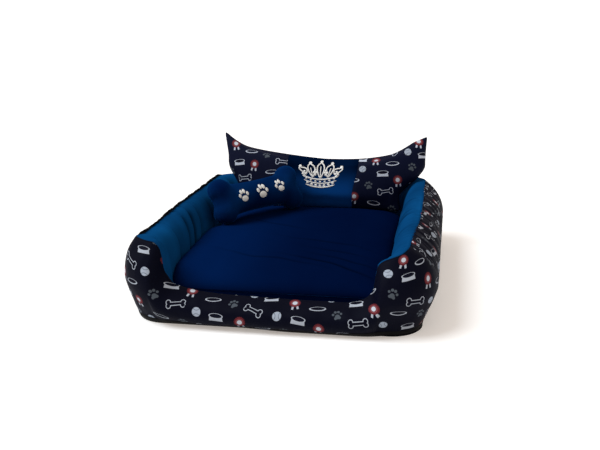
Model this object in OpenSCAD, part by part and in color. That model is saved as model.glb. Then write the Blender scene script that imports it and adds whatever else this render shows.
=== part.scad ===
// Pet bed: a low-fronted nest of stuffed walls round a removable mattress, with a zipped back
// cushion that leans on the rear wall and a loose bone-shaped pillow in the left rear corner.
// Millimetres, +Z up, front towards -Y, origin on the floor under the middle of the bed.

/* [Bed] */
// Width over the widest part of the side walls
bed_w = 600; // [580:10:700]
// Depth over the widest part of the front and rear walls
bed_d = 650; // [600:10:760]
// Height of the side and rear walls
side_h = 155; // [145:5:180]
// Height of the front wall at the entry
front_h = 67; // [60:1:80]
// Distance by which the front wall dips in the middle of the entry
entry_dip = 12; // [6:1:16]
// Radius of the outer corners, seen from above
corner_r = 88; // [75:1:92]
// Width of the entry between the front posts, at its foot
entry_w = 340; // [324:4:360]
// Distance of the entry's middle from the middle of the bed, towards the left
entry_shift = 8; // [0:1:12]
// Length over which a front post rises steeply from the entry
post_rise = 36; // [28:1:44]

/* [Walls] */
// Thickness of a side wall at the floor
side_t = 93; // [88:1:100]
// Thickness of the front wall at the floor
front_t = 62; // [56:1:75]
// Thickness of the rear wall at the floor
rear_t = 65; // [60:1:75]
// Distance by which the outer foot stands inside the widest part
foot_in = 31; // [24:1:34]
// Distance from the widest part to the ridge seam of a side wall
ridge_in = 46; // [42:1:50]
// Distance from the widest part to the ridge seam of the front wall
front_ridge_in = 40; // [34:1:44]
// Distance from the widest part to the ridge seam of the rear wall
rear_ridge_in = 32; // [28:1:34]
// Thickness of a padded cover
cloth_t = 2; // [1.5:0.5:2.5]
// Number of gathers in a side wall's outer cover
gathers = 13; // [8:1:16]
// Depth of the gathers
gather_depth = 5; // [3:0.5:7]
// Height by which the left post's outer corner stands up as a small ear
ear_h = 5; // [0:1:8]

/* [Base] */
// Thickness of the non-slip bottom cloth
base_t = 2; // [1.5:0.5:3]
// Thickness of the wadding in the floor
wadding_t = 6; // [4:1:8]
// Thickness of the floor lining
lining_t = 1.5; // [1:0.5:2]
// Height of the black band that binds the bottom edge
band_h = 6; // [4:1:10]
// Thickness of the band
band_t = 2.5; // [2:0.5:4]

/* [Mattress] */
// Height of the mattress from its bottom to its top seam
mattress_h = 45; // [40:1:50]
// Height of the crown over the top seam
mattress_crown = 43; // [36:1:46]
// Gap between the mattress and the walls
mattress_clear = 1.5; // [1:0.5:3]
// Radius of the mattress corners, seen from above
mattress_r = 30; // [24:2:32]
// Distance by which the sides draw in between the corners
mattress_pull = 4; // [2:1:6]

/* [Back cushion] */
// Width of the cushion between its upper corners
cushion_w = 488; // [460:4:500]
// Width of the cushion between its lower corners
cushion_foot_w = 392; // [360:4:396]
// Height of the cushion at its upper corners, along its lean
cushion_h = 171; // [160:1:185]
// Distance by which the top edge dips between the corners
cushion_dip = 46; // [38:2:48]
// Distance by which the side edges draw in between the corners
cushion_pull = 5; // [0:1:8]
// Angle by which the cushion leans back
cushion_lean = 20; // [18:1:21]
// Distance from the rear wall to the cushion's lower seam
cushion_stand = 27; // [26:1:34]
// Swell of the front face over the seam
cushion_front = 34; // [24:1:36]
// Swell of the flat rear face behind the seam
cushion_rear = 12; // [10:1:13]
// Width of the velvet panel in the middle of the front
panel_w = 168; // [140:4:200]
// Sideways shift of the upper corners
cushion_shift = 12; // [0:1:14]

/* [Bone pillow] */
// Distance from the middle to the centre of each pair of lobes
bone_reach = 92; // [86:1:96]
// Distance from the long axis to the centre of a lobe
lobe_rise = 25; // [22:1:26]
// Radius of a lobe
lobe_r = 28; // [26:1:30]
// Half height of the waist
waist_r = 30; // [27:1:32]
// Swell of each face over the seam
bone_swell = 30; // [24:1:31]
// Distance from the side wall's inner face to the middle of the pillow
bone_side = 87; // [84:1:110]
// Distance from the cushion's lower seam to the middle of the pillow
bone_ahead = 127; // [122:1:150]
// Angle by which the pillow leans back
bone_lean = 25; // [20:1:28]

/* [Zips] */
// Length of the zip in the mattress
mattress_zip_l = 270; // [210:6:276]
// Length of the zip in the back cushion
cushion_zip_l = 240; // [180:6:258]
// Distance from the cushion's lower seam up to its zip
cushion_zip_v = 95; // [92:1:98]
// Distance from one tooth to the next on the same side
tooth_pitch = 3; // [2.8:0.1:3.4]
// Width of the slot between the cloth edges
slot_w = 11; // [10:0.5:13]
// Length of the pull tab from its hinge to its tip
tab_l = 24; // [18:1:26]

/* [Hidden] */

PRINT = "#14151f";
VELVET = "#06265c";
WALL_VELVET = "#0b4a86";
BLACK = "#0b0b0d";
WADDING = "#e8e6df";
LINING = "#1c2233";
TAPE = "#10131c";
STEEL = "#8d9096";

// Gap between soft pieces that are sewn together
seam_gap = 0.4;
// Gap between a piece and the one that it rests on
rest_gap = 0.3;
// Length of open slot past each end of a zip
zip_end_room = 5;
// Gap between a stuffing and the cover round it, and the same in the tightly turned posts
fill_gap = 0.9;
post_fill_gap = 2.5;
// Radius of the walls' inner corners
inner_r = 8;
// Half sizes of the bed and of the well inside its walls
half_w = bed_w / 2;
half_d = bed_d / 2;
well_x = half_w - side_t;
well_front = half_d - front_t;
well_rear = half_d - rear_t;
floor_z = base_t + wadding_t + lining_t;

function lerp(a, b, t) = a + (b - a) * t;
function smooth(t) = let (c = max(0, min(1, t))) c * c * (3 - 2 * c);
function reverse(v) = [for (i = [len(v) - 1 : -1 : 0]) v[i]];
function steps(n) = [for (i = [0 : n]) i / n];
// From -1 to 1, closer together near both ends.
function round_steps(n) = [for (t = steps(n)) sin(90 * (2 * t - 1))];
// From 0 to 1, closer together near 1.
function late_steps(n) = [for (t = steps(n)) sin(90 * t)];
function unit(v) = v / norm(v);
// Height of a crown over a panel, 1 in the middle and 0 along its edges.
function crown(p, q, e) = sqrt(max(0, (1 - pow(abs(p), e)) * (1 - pow(abs(q), e))));

// Faces that join equal closed loops one to the next. A cover is a sheet with a front and a
// back: both are split along the same diagonal, so that they stay parallel where they twist. The
// back is the second half of each loop or, in a solid of nested loops, the second half of them.
function loft_sides(m, n, ring, nested) =
    [for (i = [0 : m - (ring ? 1 : 2)]) for (j = [0 : n - 1])
        let (a = i * n + j, b = i * n + (j + 1) % n)
        let (c = ((i + 1) % m) * n + (j + 1) % n, d = ((i + 1) % m) * n + j)
        each (nested ? i >= m / 2 : j >= n / 2) ? [[a, b, d], [b, c, d]] : [[a, b, c], [a, c, d]]];

// The two ends: one flat face for a nested loop, otherwise a ladder of faces between the first
// half of the loop and its second half.
function loft_ends(m, n, nested) = nested
    ? [[for (j = [n - 1 : -1 : 0]) j], [for (j = [0 : n - 1]) (m - 1) * n + j]]
    : [for (e = [0, m - 1]) for (j = [0 : n / 2 - 2])
        let (a = e * n + j, b = a + 1, d = e * n + n - 1 - j, c = d - 1)
        each e == 0 ? [[a, c, b], [a, d, c]] : [[a, b, c], [a, c, d]]];

// Six times the volume under a face with any number of corners.
function face_volume(points, f) =
    [for (k = [1 : len(f) - 2]) cross(points[f[0]], points[f[k]]) * points[f[k + 1]]]
    * [for (k = [1 : len(f) - 2]) 1];

// A closed solid through loops of points, turned so that its faces look outwards.
module loft(loops, ring = false, nested = false) {
    points = [for (l = loops) each l];
    faces = concat(loft_sides(len(loops), len(loops[0]), ring, nested),
                   ring ? [] : loft_ends(len(loops), len(loops[0]), nested));
    volume = [for (f = faces) face_volume(points, f)] * [for (f = faces) 1];
    polyhedron(points, volume > 0 ? [for (f = faces) reverse(f)] : faces, convexity = 8);
}

// The walls run through stations: [outer point, inner point, height, depth of the ridge seam].
// Where along the left post's corner its ear stands, as an angle, and how wide it is
ear_angle = 30;
ear_spread = 22;
ear_out = 12;
corner_n = 6;

function corner_station(sx, sy, a) =
    let (dir = [sx * cos(a), sy * sin(a)], well_y = sy < 0 ? well_front : well_rear)
    let (e = sx < 0 && sy < 0 ? exp(-pow((a - ear_angle) / ear_spread, 2)) : 0)
    let (outer = [sx * (half_w - corner_r), sy * (half_d - corner_r)] + corner_r * dir)
    [outer, [sx * (well_x - inner_r), sy * (well_y - inner_r)] + inner_r * dir,
     (sy < 0 ? front_height(outer.x) : side_h) + ear_h * e,
     lerp(ridge_in, sy < 0 ? front_ridge_in : rear_ridge_in, sin(a)) - ear_out * e];

function corner_run(sx, sy, from, to) =
    [for (t = steps(corner_n)) corner_station(sx, sy, lerp(from, to, t))];

function side_run(sx, n) =
    let (a = corner_station(sx, -1, 0), b = corner_station(sx, 1, 0))
    [for (t = steps(n)) lerp(a, b, t)];

// Height of the front wall: the entry dips in the middle, and a post rises at each end of it,
// first in a round corner, then steeply, and the rest in a sloping shoulder.
post_start = 4;
shoulder_l = 72;
shoulder_share = 0.1;
function front_height(x) = let (from = abs(x + entry_shift), past = from - entry_w / 2)
    let (low = front_h - entry_dip * (1 - min(1, pow(2 * from / entry_w, 2))))
    lerp(low, side_h, (1 - shoulder_share) * smooth((past - post_start) / post_rise)
                      + shoulder_share * smooth(past / shoulder_l));

function front_station(x) =
    [[x, -half_d], [x * (well_x - inner_r) / (half_w - corner_r), -well_front],
     front_height(x), front_ridge_in];

// A post goes from the end of its side wall round the corner and down to the entry.
post_n = 6;
function post_run(sx) = concat(
    corner_run(sx, -1, 0, 90),
    [for (i = [post_n - 1 : -1 : 0])
        front_station(sx * lerp(entry_w / 2, half_w - corner_r, i / post_n))]);

function entry_run(n) = [for (t = steps(n)) front_station(lerp(-entry_w / 2, entry_w / 2, t))];

function rear_run(n) =
    let (a = corner_station(-1, 1, 90), b = corner_station(1, 1, 90))
    concat(corner_run(-1, 1, 0, 90), [for (t = steps(n)) if (t > 0 && t < 1) lerp(a, b, t)],
           corner_run(1, 1, 90, 0));

// Runs end to end, each without its last station.
function chained(runs) = [for (r = runs) for (i = [0 : len(r) - 2]) r[i]];
function tail(run) = run[len(run) - 1];

// The cross-section of a wall as a chain of [distance from the outside, height], from the outer
// foot over the ridge to the inner foot: it swells out to half height, draws in to the ridge
// seam and falls over a round shoulder to an upright inner face.
ridge_at = 5;
foot_power = 2.2;
shoulder_power = 2.4;
inner_power = 0.7;
function wall_chain(st) =
    let (w = norm(st[1] - st[0]), h = st[2], ridge = st[3], mid = (h + base_t) / 2)
    concat([for (s = [1, 0.55, 0]) [foot_in * pow(s, foot_power), lerp(mid, base_t, s)]],
           [for (s = [0.5, 0.82, 1]) [ridge * pow(s, shoulder_power), lerp(mid, h, s)]],
           [for (a = [30, 60, 90]) [lerp(ridge, w, pow(sin(a), inner_power)), lerp(mid, h, cos(a))]],
           [[w, base_t]]);

function chain_normal(c, i) = let (t = unit(c[i + 1] - c[i - 1])) [t.y, -t.x];

// A chain moved into the wall: the outer side by k_out, the inner side by k_in. The sloping
// outer foot moves level, so that it stays on the base.
foot_slope = 1.3;
function inset_chain(c, k_out, k_in) = let (last = len(c) - 1)
    [for (i = [0 : last])
        i == 0 ? c[0] + [foot_slope * k_out, 0] :
        i == last ? c[last] - [k_in, 0] :
        c[i] + chain_normal(c, i) * (i < ridge_at ? k_out : i > ridge_at ? k_in : max(k_out, k_in))];

// A chain that ends half a seam short of the ridge.
function short_end(c) = let (n = len(c) - 1)
    [for (i = [0 : n]) i < n ? c[i] : c[n] + unit(c[n - 1] - c[n]) * seam_gap];
function short_start(c) = reverse(short_end(reverse(c)));

function in_place(st, c) = let (u = unit(st[1] - st[0]))
    [for (p = c) [st[0].x + u.x * p.x, st[0].y + u.y * p.x, p.y]];

// One loop of a padded cover over part of the section: "outer", "inner" or "all". A valley of
// the gathers is drawn in, less at the ridge, where it is sewn to its neighbour.
ridge_draw = 0.3;
function cover_loop(st, part, valley) =
    let (c = wall_chain(st), last = len(c) - 1, deep = valley * gather_depth)
    let (from = part == "inner" ? ridge_at : 0, to = part == "outer" ? ridge_at : last)
    let (face = inset_chain(c, deep, 0), back = inset_chain(c, deep + cloth_t, cloth_t))
    let (top = chain_normal(c, ridge_at) * ridge_draw * deep)
    let (f = [for (i = [from : to]) i == ridge_at ? c[i] + top : face[i]])
    let (b = [for (i = [from : to]) i == ridge_at ? c[i] + top + chain_normal(c, i) * cloth_t
                                                  : back[i]])
    let (ff = part == "outer" ? short_end(f) : part == "inner" ? short_start(f) : f)
    let (bb = part == "outer" ? short_end(b) : part == "inner" ? short_start(b) : b)
    in_place(st, concat(ff, reverse(bb)));

// Draws both ends of a run in by half a seam, so that neighbours stay apart.
function apart(run) = let (n = len(run) - 1)
    let (a = seam_gap / 2 / norm(run[1][0] - run[0][0]))
    let (b = seam_gap / 2 / norm(run[n][0] - run[n - 1][0]))
    [for (i = [0 : n]) i == 0 ? lerp(run[0], run[1], a) :
                       i == n ? lerp(run[n], run[n - 1], b) : run[i]];

module cover(run, part, gathered = false) {
    last = len(run) - 1;
    parted = apart(run);
    loft([for (i = [0 : last]) cover_loop(parted[i], part, gathered && i < last ? i % 2 : 0)]);
}

// A wall's stuffing, clear of its covers and of their gathers.
module filling(run, gathered = false, gap = fill_gap) {
    k = cloth_t + gap;
    loft([for (st = apart(run))
        in_place(st, [for (p = inset_chain(wall_chain(st), k + (gathered ? gather_depth : 0), k))
                      [p.x, max(p.y, base_t + seam_gap)]])]);
}

// A rectangle with round corners, from -x to x and from low to high.
module rounded_plan(x, low, high, r) {
    translate([-x, low + r]) square([2 * x, high - low - 2 * r]);
    translate([r - x, low]) square([2 * (x - r), high - low]);
    for (cx = [r - x, x - r], cy = [low + r, high - r])
        translate([cx, cy]) circle(r, $fn = 48);
}

module base_cloth() {
    grow = band_t + seam_gap;
    color(BLACK) linear_extrude(base_t)
        rounded_plan(half_w - foot_in + grow, foot_in - half_d - grow, half_d - foot_in + grow,
                     corner_r - foot_in + grow);
}

// The band lies on the lowest part of the outer covers, all the way round.
module base_band() {
    run = chained([post_run(-1), entry_run(6), reverse(post_run(1)), side_run(1, 1),
                   reverse(rear_run(1)), reverse(side_run(-1, 1))]);
    color(BLACK) loft([for (st = run)
        let (c = wall_chain(st), up = (c[1] - c[0]) * band_h / (c[1].y - c[0].y))
        let (p = c[0] - [seam_gap, 0], q = p - [band_t, 0])
        in_place(st, [p, q, q + up, p + up])], ring = true);
}

module floor_layer(z, t) {
    g = seam_gap;
    translate([0, 0, z]) linear_extrude(t)
        rounded_plan(well_x - g, g - well_front, well_rear - g, inner_r);
}

module base_wadding() {
    color(WADDING) floor_layer(base_t, wadding_t);
}

module floor_lining() {
    color(LINING) floor_layer(base_t + wadding_t, lining_t);
}

module front_cover(part) {
    cover(concat(chained([post_run(-1), entry_run(6), reverse(post_run(1))]),
                 [corner_station(1, -1, 0)]), part);
}

module front_wall_filling() {
    color(WADDING) filling(entry_run(6));
}

module post_filling(sx) {
    color(WADDING) filling(post_run(sx), gap = post_fill_gap);
}

module side_outer_cover(sx) {
    color(PRINT) cover(side_run(sx, 2 * gathers), "outer", gathered = true);
}

module side_inner_cover(sx) {
    color(WALL_VELVET) cover(side_run(sx, 6), "inner");
}

module side_filling(sx) {
    color(WADDING) filling(side_run(sx, 4), gathered = true);
}

module rear_wall_outer_cover() {
    color(PRINT) cover(rear_run(14), "outer", gathered = true);
}

module rear_wall_inner_cover() {
    color(WALL_VELVET) cover(rear_run(4), "inner");
}

module rear_wall_filling() {
    color(WADDING) filling(rear_run(4), gathered = true);
}

// Mattress, in x and y about its own middle
mattress_x = well_x - mattress_clear;
mattress_y = (well_front + well_rear) / 2 - mattress_clear;
mattress_mid = (well_rear - well_front) / 2;
mattress_z = floor_z + rest_gap;
mattress_seam_z = mattress_z + mattress_h;
mattress_power = 6;
// How far the foam stays inside the sides, past the zip
foam_inset = cloth_t + 2.6;

// A plan point with the sides drawn in between the corners.
function drawn(p) =
    let (hold_x = smooth((mattress_x - abs(p.x)) / (2 * mattress_r)))
    let (hold_y = smooth((mattress_y - abs(p.y)) / (2 * mattress_r)))
    [p.x - sign(p.x) * mattress_pull * hold_y * pow(abs(p.x) / mattress_x, 4),
     p.y - sign(p.y) * mattress_pull * hold_x * pow(abs(p.y) / mattress_y, 4) + mattress_mid];

// Half depth of the plan at x, less in its round corners.
function plan_y(x, inset) =
    let (r = mattress_r - inset, past = abs(x) - (mattress_x - mattress_r))
    mattress_y - mattress_r + (past > 0 ? sqrt(max(0, r * r - past * past)) : r);

function mattress_rise(x, y) =
    mattress_crown * crown(x / mattress_x, y / plan_y(x, 0), mattress_power);

// Height of the mattress's top at a point of the plan.
function mattress_top(p) =
    mattress_seam_z + cloth_t + mattress_rise(p.x, p.y - mattress_mid);

// The plan outline, moved in by inset, as one path from the right end of the zip's opening
// round the front to its left end.
opening_x = mattress_zip_l / 2 + zip_end_room;
function plan_corner(sx, sy, inset, from, to) =
    [for (t = steps(4)) let (a = lerp(from, to, t), r = mattress_r - inset)
        [sx * (mattress_x - mattress_r + r * cos(a)), sy * (mattress_y - mattress_r + r * sin(a))]];
function plan_path(inset) =
    let (runs = [[[opening_x, mattress_y - inset]], plan_corner(1, 1, inset, 90, 0),
                 plan_corner(1, -1, inset, 0, 90), plan_corner(-1, -1, inset, 90, 0),
                 plan_corner(-1, 1, inset, 0, 90), [[-opening_x, mattress_y - inset]]])
    [for (i = [0 : 5]) each concat(
        [for (p = runs[i]) drawn(p)],
        i > 0 && i < 4 ? [for (j = [1 : 5]) drawn(lerp(tail(runs[i]), runs[i + 1][0], j / 6))] : [])];

module mattress_bottom_panel() {
    color(BLACK) translate([0, 0, mattress_z]) linear_extrude(cloth_t) polygon(plan_path(0));
}

boxing_z = mattress_z + cloth_t + seam_gap;
boxing_top = mattress_seam_z - seam_gap;
module mattress_boxing() {
    outer = plan_path(0);
    inner = plan_path(cloth_t);
    color(VELVET) loft([for (i = [0 : len(outer) - 1])
        let (o = outer[i], n = inner[i])
        [[o.x, o.y, boxing_z], [o.x, o.y, boxing_top], [n.x, n.y, boxing_top], [n.x, n.y, boxing_z]]]);
}

// The rear of the boxing is two flaps with the zip between them.
mattress_rear_y = mattress_mid + mattress_y - mattress_pull;
mattress_zip_z = (boxing_z + boxing_top) / 2;
module zip_flap(low, high) {
    x = opening_x - seam_gap;
    color(VELVET) translate([-x, mattress_rear_y - cloth_t, low])
        cube([2 * x, cloth_t, high - low]);
}

// A padded top: a grid of stations across x, each a loop over the top and back underneath.
module mattress_top_panel() {
    color(VELVET) loft([for (p = round_steps(14))
        let (x = p * mattress_x, y = plan_y(x, 0), row = [for (q = round_steps(12))
            let (d = drawn([x, q * y])) [d.x, d.y, mattress_seam_z + mattress_rise(x, q * y)]])
        concat([for (r = row) r + [0, 0, cloth_t]], reverse(row))]);
}

foam_share = 0.85;
module mattress_foam() {
    color(WADDING) loft([for (p = round_steps(10))
        let (x = p * (mattress_x - foam_inset), y = plan_y(x, foam_inset) - 0.5)
        let (row = [for (q = round_steps(8)) let (d = drawn([x, q * y]))
            [d.x, d.y, mattress_seam_z + foam_share * mattress_rise(x, q * y) - 2 * fill_gap]])
        concat(row, [for (r = reverse(row)) [r.x, r.y, boxing_z]])]);
}

// Zips lie along x with their cloth in the plane z = 0 and their outside towards +z.
tape_t = 1;
tape_lap = 3.5;
// How far the tape runs into the spine of the teeth
tape_bite = 0.6;
tooth_t = 2.2;
tooth_reach = 1.1;
spine_in = 1.4;
spine_out = 2.6;
tooth_side = 0.15;
// Height of a cover's inner face over the middle of the tape
tape_drop = tape_t / 2 + rest_gap;

// A row of moulded teeth on its tape. Its teeth reach past the middle between its partner's.
module zip_half(length, opening, side) {
    n = floor(length / tooth_pitch) - 1;
    half = tooth_pitch / 4 - tooth_side;
    start = -length / 2 + tooth_pitch * (side > 0 ? 0.5 : 1);
    teeth = [for (i = [0 : n - 1]) let (low = start + i * tooth_pitch - half, high = low + 2 * half)
        each [[low, spine_in], [low, -tooth_reach], [high, -tooth_reach], [high, spine_in]]];
    ends = [[length / 2, spine_in], [length / 2, spine_out], [-length / 2, spine_out],
            [-length / 2, spine_in]];
    tape_in = spine_out - tape_bite;
    mirror([0, side > 0 ? 0 : 1, 0]) {
        color(STEEL) translate([0, 0, -tooth_t / 2]) linear_extrude(tooth_t)
            polygon(concat(teeth, ends));
        color(TAPE) translate([seam_gap - opening, tape_in, -tape_t / 2])
            cube([2 * (opening - seam_gap), slot_w / 2 + tape_lap - tape_in, tape_t]);
    }
}

// A slider runs over both rows of teeth, with a flange outside each row.
slider_l = 12;
slider_gap = 0.3;
slider_t = 1.1;
slider_in = spine_out + slider_gap;
rail_t = 0.9;
slider_out = slider_in + 1;
slider_z = tooth_t / 2 + slider_gap;
// Lengths over which the slider narrows at its tail and its nose, and by how much on each side
tail_l = 1.5;
tail_in = 0.6;
nose_l = 3;
nose_in = 1.4;
module zip_slider_body() {
    half = slider_l / 2;
    side = [[-half, slider_out - tail_in], [tail_l - half, slider_out],
            [half - nose_l, slider_out], [half, slider_out - nose_in]];
    low = tape_t / 2 + slider_gap;
    translate([0, 0, slider_z]) linear_extrude(slider_t)
        polygon(concat(side, reverse([for (p = side) [p.x, -p.y]])));
    for (y = [-slider_in - rail_t, slider_in])
        translate([tail_l + slider_gap - half, y, low])
            cube([slider_l - tail_l - nose_l - 2 * slider_gap, rail_t,
                  slider_z + slider_t / 2 - low]);
}

// The tab turns on a pin between two cheeks on the slider.
pin_r = 0.8;
pin_gap = 0.08;
eye_r = 1.8;
eye_w = 3;
cheek_t = 1;
cheek_l = 2.4;
// Height of a cheek over the pin
cheek_over = 0.4;
pin_z = slider_z + slider_t + eye_r + slider_gap;
module zip_tab_bridge() {
    y = eye_w / 2 + slider_gap;
    low = slider_z + slider_t / 2;
    for (s = [-1, 1]) translate([-cheek_l / 2, s > 0 ? y : -y - cheek_t, low])
        cube([cheek_l, cheek_t, pin_z + pin_r + cheek_over - low]);
    translate([0, -y - cheek_t / 2, pin_z]) rotate([-90, 0, 0])
        cylinder(h = 2 * y + cheek_t, r = pin_r, $fn = 32);
}

tab_t = 1.2;
tab_w = 5;
// Lengths of the narrow neck beyond the eye, of the flare after it and of the cut corners
neck_l = 2.6;
flare_l = 2;
tip_l = 1.5;
tip_in = 1;
module zip_tab() {
    neck = eye_r + neck_l;
    side = [[0, eye_w / 2], [neck, eye_w / 2], [neck + flare_l, tab_w / 2],
            [tab_l - tip_l, tab_w / 2], [tab_l, tab_w / 2 - tip_in]];
    difference() {
        union() {
            translate([0, -eye_w / 2, pin_z]) rotate([-90, 0, 0])
                cylinder(h = eye_w, r = eye_r, $fn = 32);
            translate([0, 0, pin_z - tab_t / 2]) linear_extrude(tab_t)
                polygon(concat(side, reverse([for (p = side) [p.x, -p.y]])));
        }
        translate([0, -eye_w, pin_z]) rotate([-90, 0, 0])
            cylinder(h = 2 * eye_w, r = pin_r + pin_gap, $fn = 32);
    }
}

// Where the slider stands on a closed zip, from the middle
function slider_rest(length) = length / 2 - slider_l / 2 - 2;

module on_mattress_zip() {
    translate([0, mattress_rear_y - cloth_t - tape_drop, mattress_zip_z])
        rotate([90, 0, 180]) children();
}

module mattress_zip_half(side) {
    on_mattress_zip() zip_half(mattress_zip_l, opening_x, side);
}

module mattress_zip_slider() {
    color(STEEL) on_mattress_zip() translate([slider_rest(mattress_zip_l), 0, 0]) zip_slider_body();
}

// Back cushion, in its own plane: u across, v up along its lean, w out of its front face
cushion_y = well_rear - cushion_stand;
// How far the foot seam comes down past the mattress's top there, which falls away behind it
cushion_settle = 2.3;
// Between which shares of its height the cushion spreads from its foot to its full width, so
// that its foot stands between the side walls and its shoulders above them
spread_from = 0.2;
spread_over = 0.4;
cushion_z = mattress_top([0, cushion_y]) + rest_gap - cushion_settle;
front_power = 3;
rear_power = 12;
cushion_opening = cushion_zip_l / 2 + zip_end_room;
cushion_fill_gap = 3.4;

module on_cushion() {
    translate([0, cushion_y, cushion_z]) rotate([90 - cushion_lean, 0, 0]) children();
}

function spread(v) = smooth((v / cushion_h - spread_from) / spread_over);
function cushion_half(v) =
    lerp(cushion_foot_w, cushion_w, spread(v)) / 2 - cushion_pull * sin(180 * min(1, v / cushion_h));
function cushion_top(p) = cushion_h - cushion_dip * (1 - p * p);

// A point of the front or rear face at u, v with w out of the seam plane; q runs over the height.
function cushion_point(u, v, w) = [u + cushion_shift * spread(v), v, w];
function front_swell(u, v, q) =
    seam_gap / 2 + cushion_front * crown(u / cushion_half(v), q, front_power);
function rear_swell(u, v, q) =
    seam_gap / 2 + cushion_rear * crown(u / cushion_half(v), q, rear_power);

// The front has three panels. Across a side panel s runs from the seam of the middle one out to
// the edge, and across the middle one from edge to edge.
function front_u(part, s, v) = part == 0 ? s * (panel_w - seam_gap) / 2
    : part * lerp((panel_w + seam_gap) / 2, cushion_half(v), s);
// One row of points up the front face, as [u, v, q].
function front_row(part, s, qs) =
    let (top = cushion_top(front_u(part, s, cushion_h) / cushion_half(cushion_h)))
    [for (q = qs) let (v = top * (q + 1) / 2) [front_u(part, s, v), v, q]];

module cushion_front_panel(part) {
    ss = part == 0 ? [for (t = steps(4)) 2 * t - 1] : late_steps(6);
    loft([for (s = ss) let (row = front_row(part, s, round_steps(10)))
        concat([for (r = row) cushion_point(r[0], r[1], front_swell(r[0], r[1], r[2]) + cloth_t)],
               reverse([for (r = row) cushion_point(r[0], r[1], front_swell(r[0], r[1], r[2]))]))]);
}

// Half the gap between the rear panels: the zip's slot, and a seam beyond its ends.
slot_s = cushion_opening / cushion_half(cushion_zip_v);
rear_stations = let (b = slot_s + 0.02, out = [for (t = late_steps(4)) lerp(b, 1, t)])
    concat([for (s = reverse(out)) -s], [for (t = steps(8)) slot_s * (2 * t - 1)], out);
function rear_split(s) = (abs(s) < slot_s + 0.001 ? slot_w : seam_gap) / 2;

function rear_row(s, upper) = let (top = cushion_top(s), n = 5)
    [for (i = [0 : n])
        let (v = upper ? lerp(cushion_zip_v + rear_split(s), top, late_steps(n)[i])
                       : lerp(cushion_zip_v - rear_split(s), 0, late_steps(n)[i]))
        [s * cushion_half(v), v, 2 * v / top - 1]];

module cushion_rear_panel(upper) {
    loft([for (s = rear_stations) let (row = rear_row(s, upper))
        concat([for (r = row) cushion_point(r[0], r[1], -rear_swell(r[0], r[1], r[2]) - cloth_t)],
               reverse([for (r = row) cushion_point(r[0], r[1], -rear_swell(r[0], r[1], r[2]))]))]);
}

module cushion_filling() {
    n = 10;
    qs = [for (i = [1 : n - 1]) round_steps(n)[i]];
    side = [for (i = [0 : 5]) late_steps(6)[i]];
    places = concat([for (s = reverse(side)) [-1, s]], [for (s = [-0.5, 0, 0.5]) [0, s]],
                    [for (s = side) [1, s]]);
    color(WADDING) on_cushion() loft([for (p = places) let (row = front_row(p[0], p[1], qs))
        concat([for (r = row)
                   cushion_point(r[0], r[1], front_swell(r[0], r[1], r[2]) - fill_gap)],
               reverse([for (r = row)
                   cushion_point(r[0], r[1], cushion_fill_gap - rear_swell(r[0], r[1], r[2]))]))]);
}

module on_cushion_zip() {
    on_cushion() translate([cushion_shift * spread(cushion_zip_v), cushion_zip_v,
                            tape_drop - cushion_rear - seam_gap / 2]) rotate([0, 180, 0]) children();
}

module cushion_zip_half(side) {
    on_cushion_zip() zip_half(cushion_zip_l, cushion_opening, side);
}

module cushion_zip_slider() {
    color(STEEL) on_cushion_zip() translate([slider_rest(cushion_zip_l), 0, 0]) {
        zip_slider_body();
        zip_tab_bridge();
    }
}

module cushion_zip_tab() {
    color(STEEL) on_cushion_zip() translate([slider_rest(cushion_zip_l), 0, 0]) zip_tab();
}

// Bone pillow, in its own plane like the cushion
bone_x = bone_side - well_x;
bone_y = cushion_y - bone_ahead;
bone_turn = 48;
bone_roll = 1;
notch = 2;
waist_angle = 150;

// Height of the middle over the mattress: the lower lobes rest on it, where it's already falling
bone_settle = 3.2;
bone_lift = lobe_rise * cos(bone_lean) - bone_settle
          + norm([lobe_r * cos(bone_lean), (bone_swell + cloth_t) * sin(bone_lean)]);

module on_bone() {
    translate([bone_x, bone_y, mattress_top([bone_x, bone_y]) + bone_lift])
        rotate([0, 0, bone_turn]) rotate([90 - bone_lean, 0, 0]) rotate([0, 0, bone_roll]) children();
}

// A quarter of the outline: round a lobe from the end notch, then along a curve to the waist.
lobe_n = 6;
waist_n = 3;
function bone_quarter() =
    let (from = asin((notch - lobe_rise) / lobe_r))
    let (arc = [for (t = steps(lobe_n)) let (a = lerp(from, waist_angle, t))
                [bone_reach + lobe_r * cos(a), lobe_rise + lobe_r * sin(a)]])
    let (p0 = tail(arc), p1 = [p0.x - (p0.y - waist_r) * tan(180 - waist_angle), waist_r])
    concat(arc, [for (i = [1 : waist_n]) let (t = i / waist_n)
                 lerp(lerp(p0, p1, t), lerp(p1, [0, waist_r], t), t)]);

// Where each point of the quarter goes as its loop shrinks: a lobe closes round a point near its
// centre, the waist on a line beside the long axis, and the end notch runs inwards as a valley.
core_in = 5;
function bone_core(p, i) = i == 0 ? [bone_reach - lobe_r / 2, notch / 2]
    : i <= lobe_n ? [bone_reach - core_in, lobe_rise - core_in] : [p.x, core_in];

function bone_loop(k, w) =
    let (outline = bone_quarter(), n = len(outline) - 1)
    let (q = [for (i = [0 : n]) lerp(outline[i], bone_core(outline[i], i), k)])
    let (upper = concat([for (p = q) [-p.x, p.y]], [for (i = [n - 1 : -1 : 0]) q[i]]))
    [for (p = concat(upper, reverse([for (p = upper) [p.x, -p.y]]))) [p.x, p.y, w]];

// The swell is round: shares of the way from the seam to the core, and the share of the full
// swell at each. A surface that lies in by d square to itself has a lower swell, and its loops
// begin a little way in from the outline.
bone_shares = [0, 0.08, 0.3, 0.55, 0.88];
function bone_swell_at(k) = sqrt(1 - (1 - k) * (1 - k));
function bone_in(k, d) = lerp(d / (lobe_r - core_in), 1, k);

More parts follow.
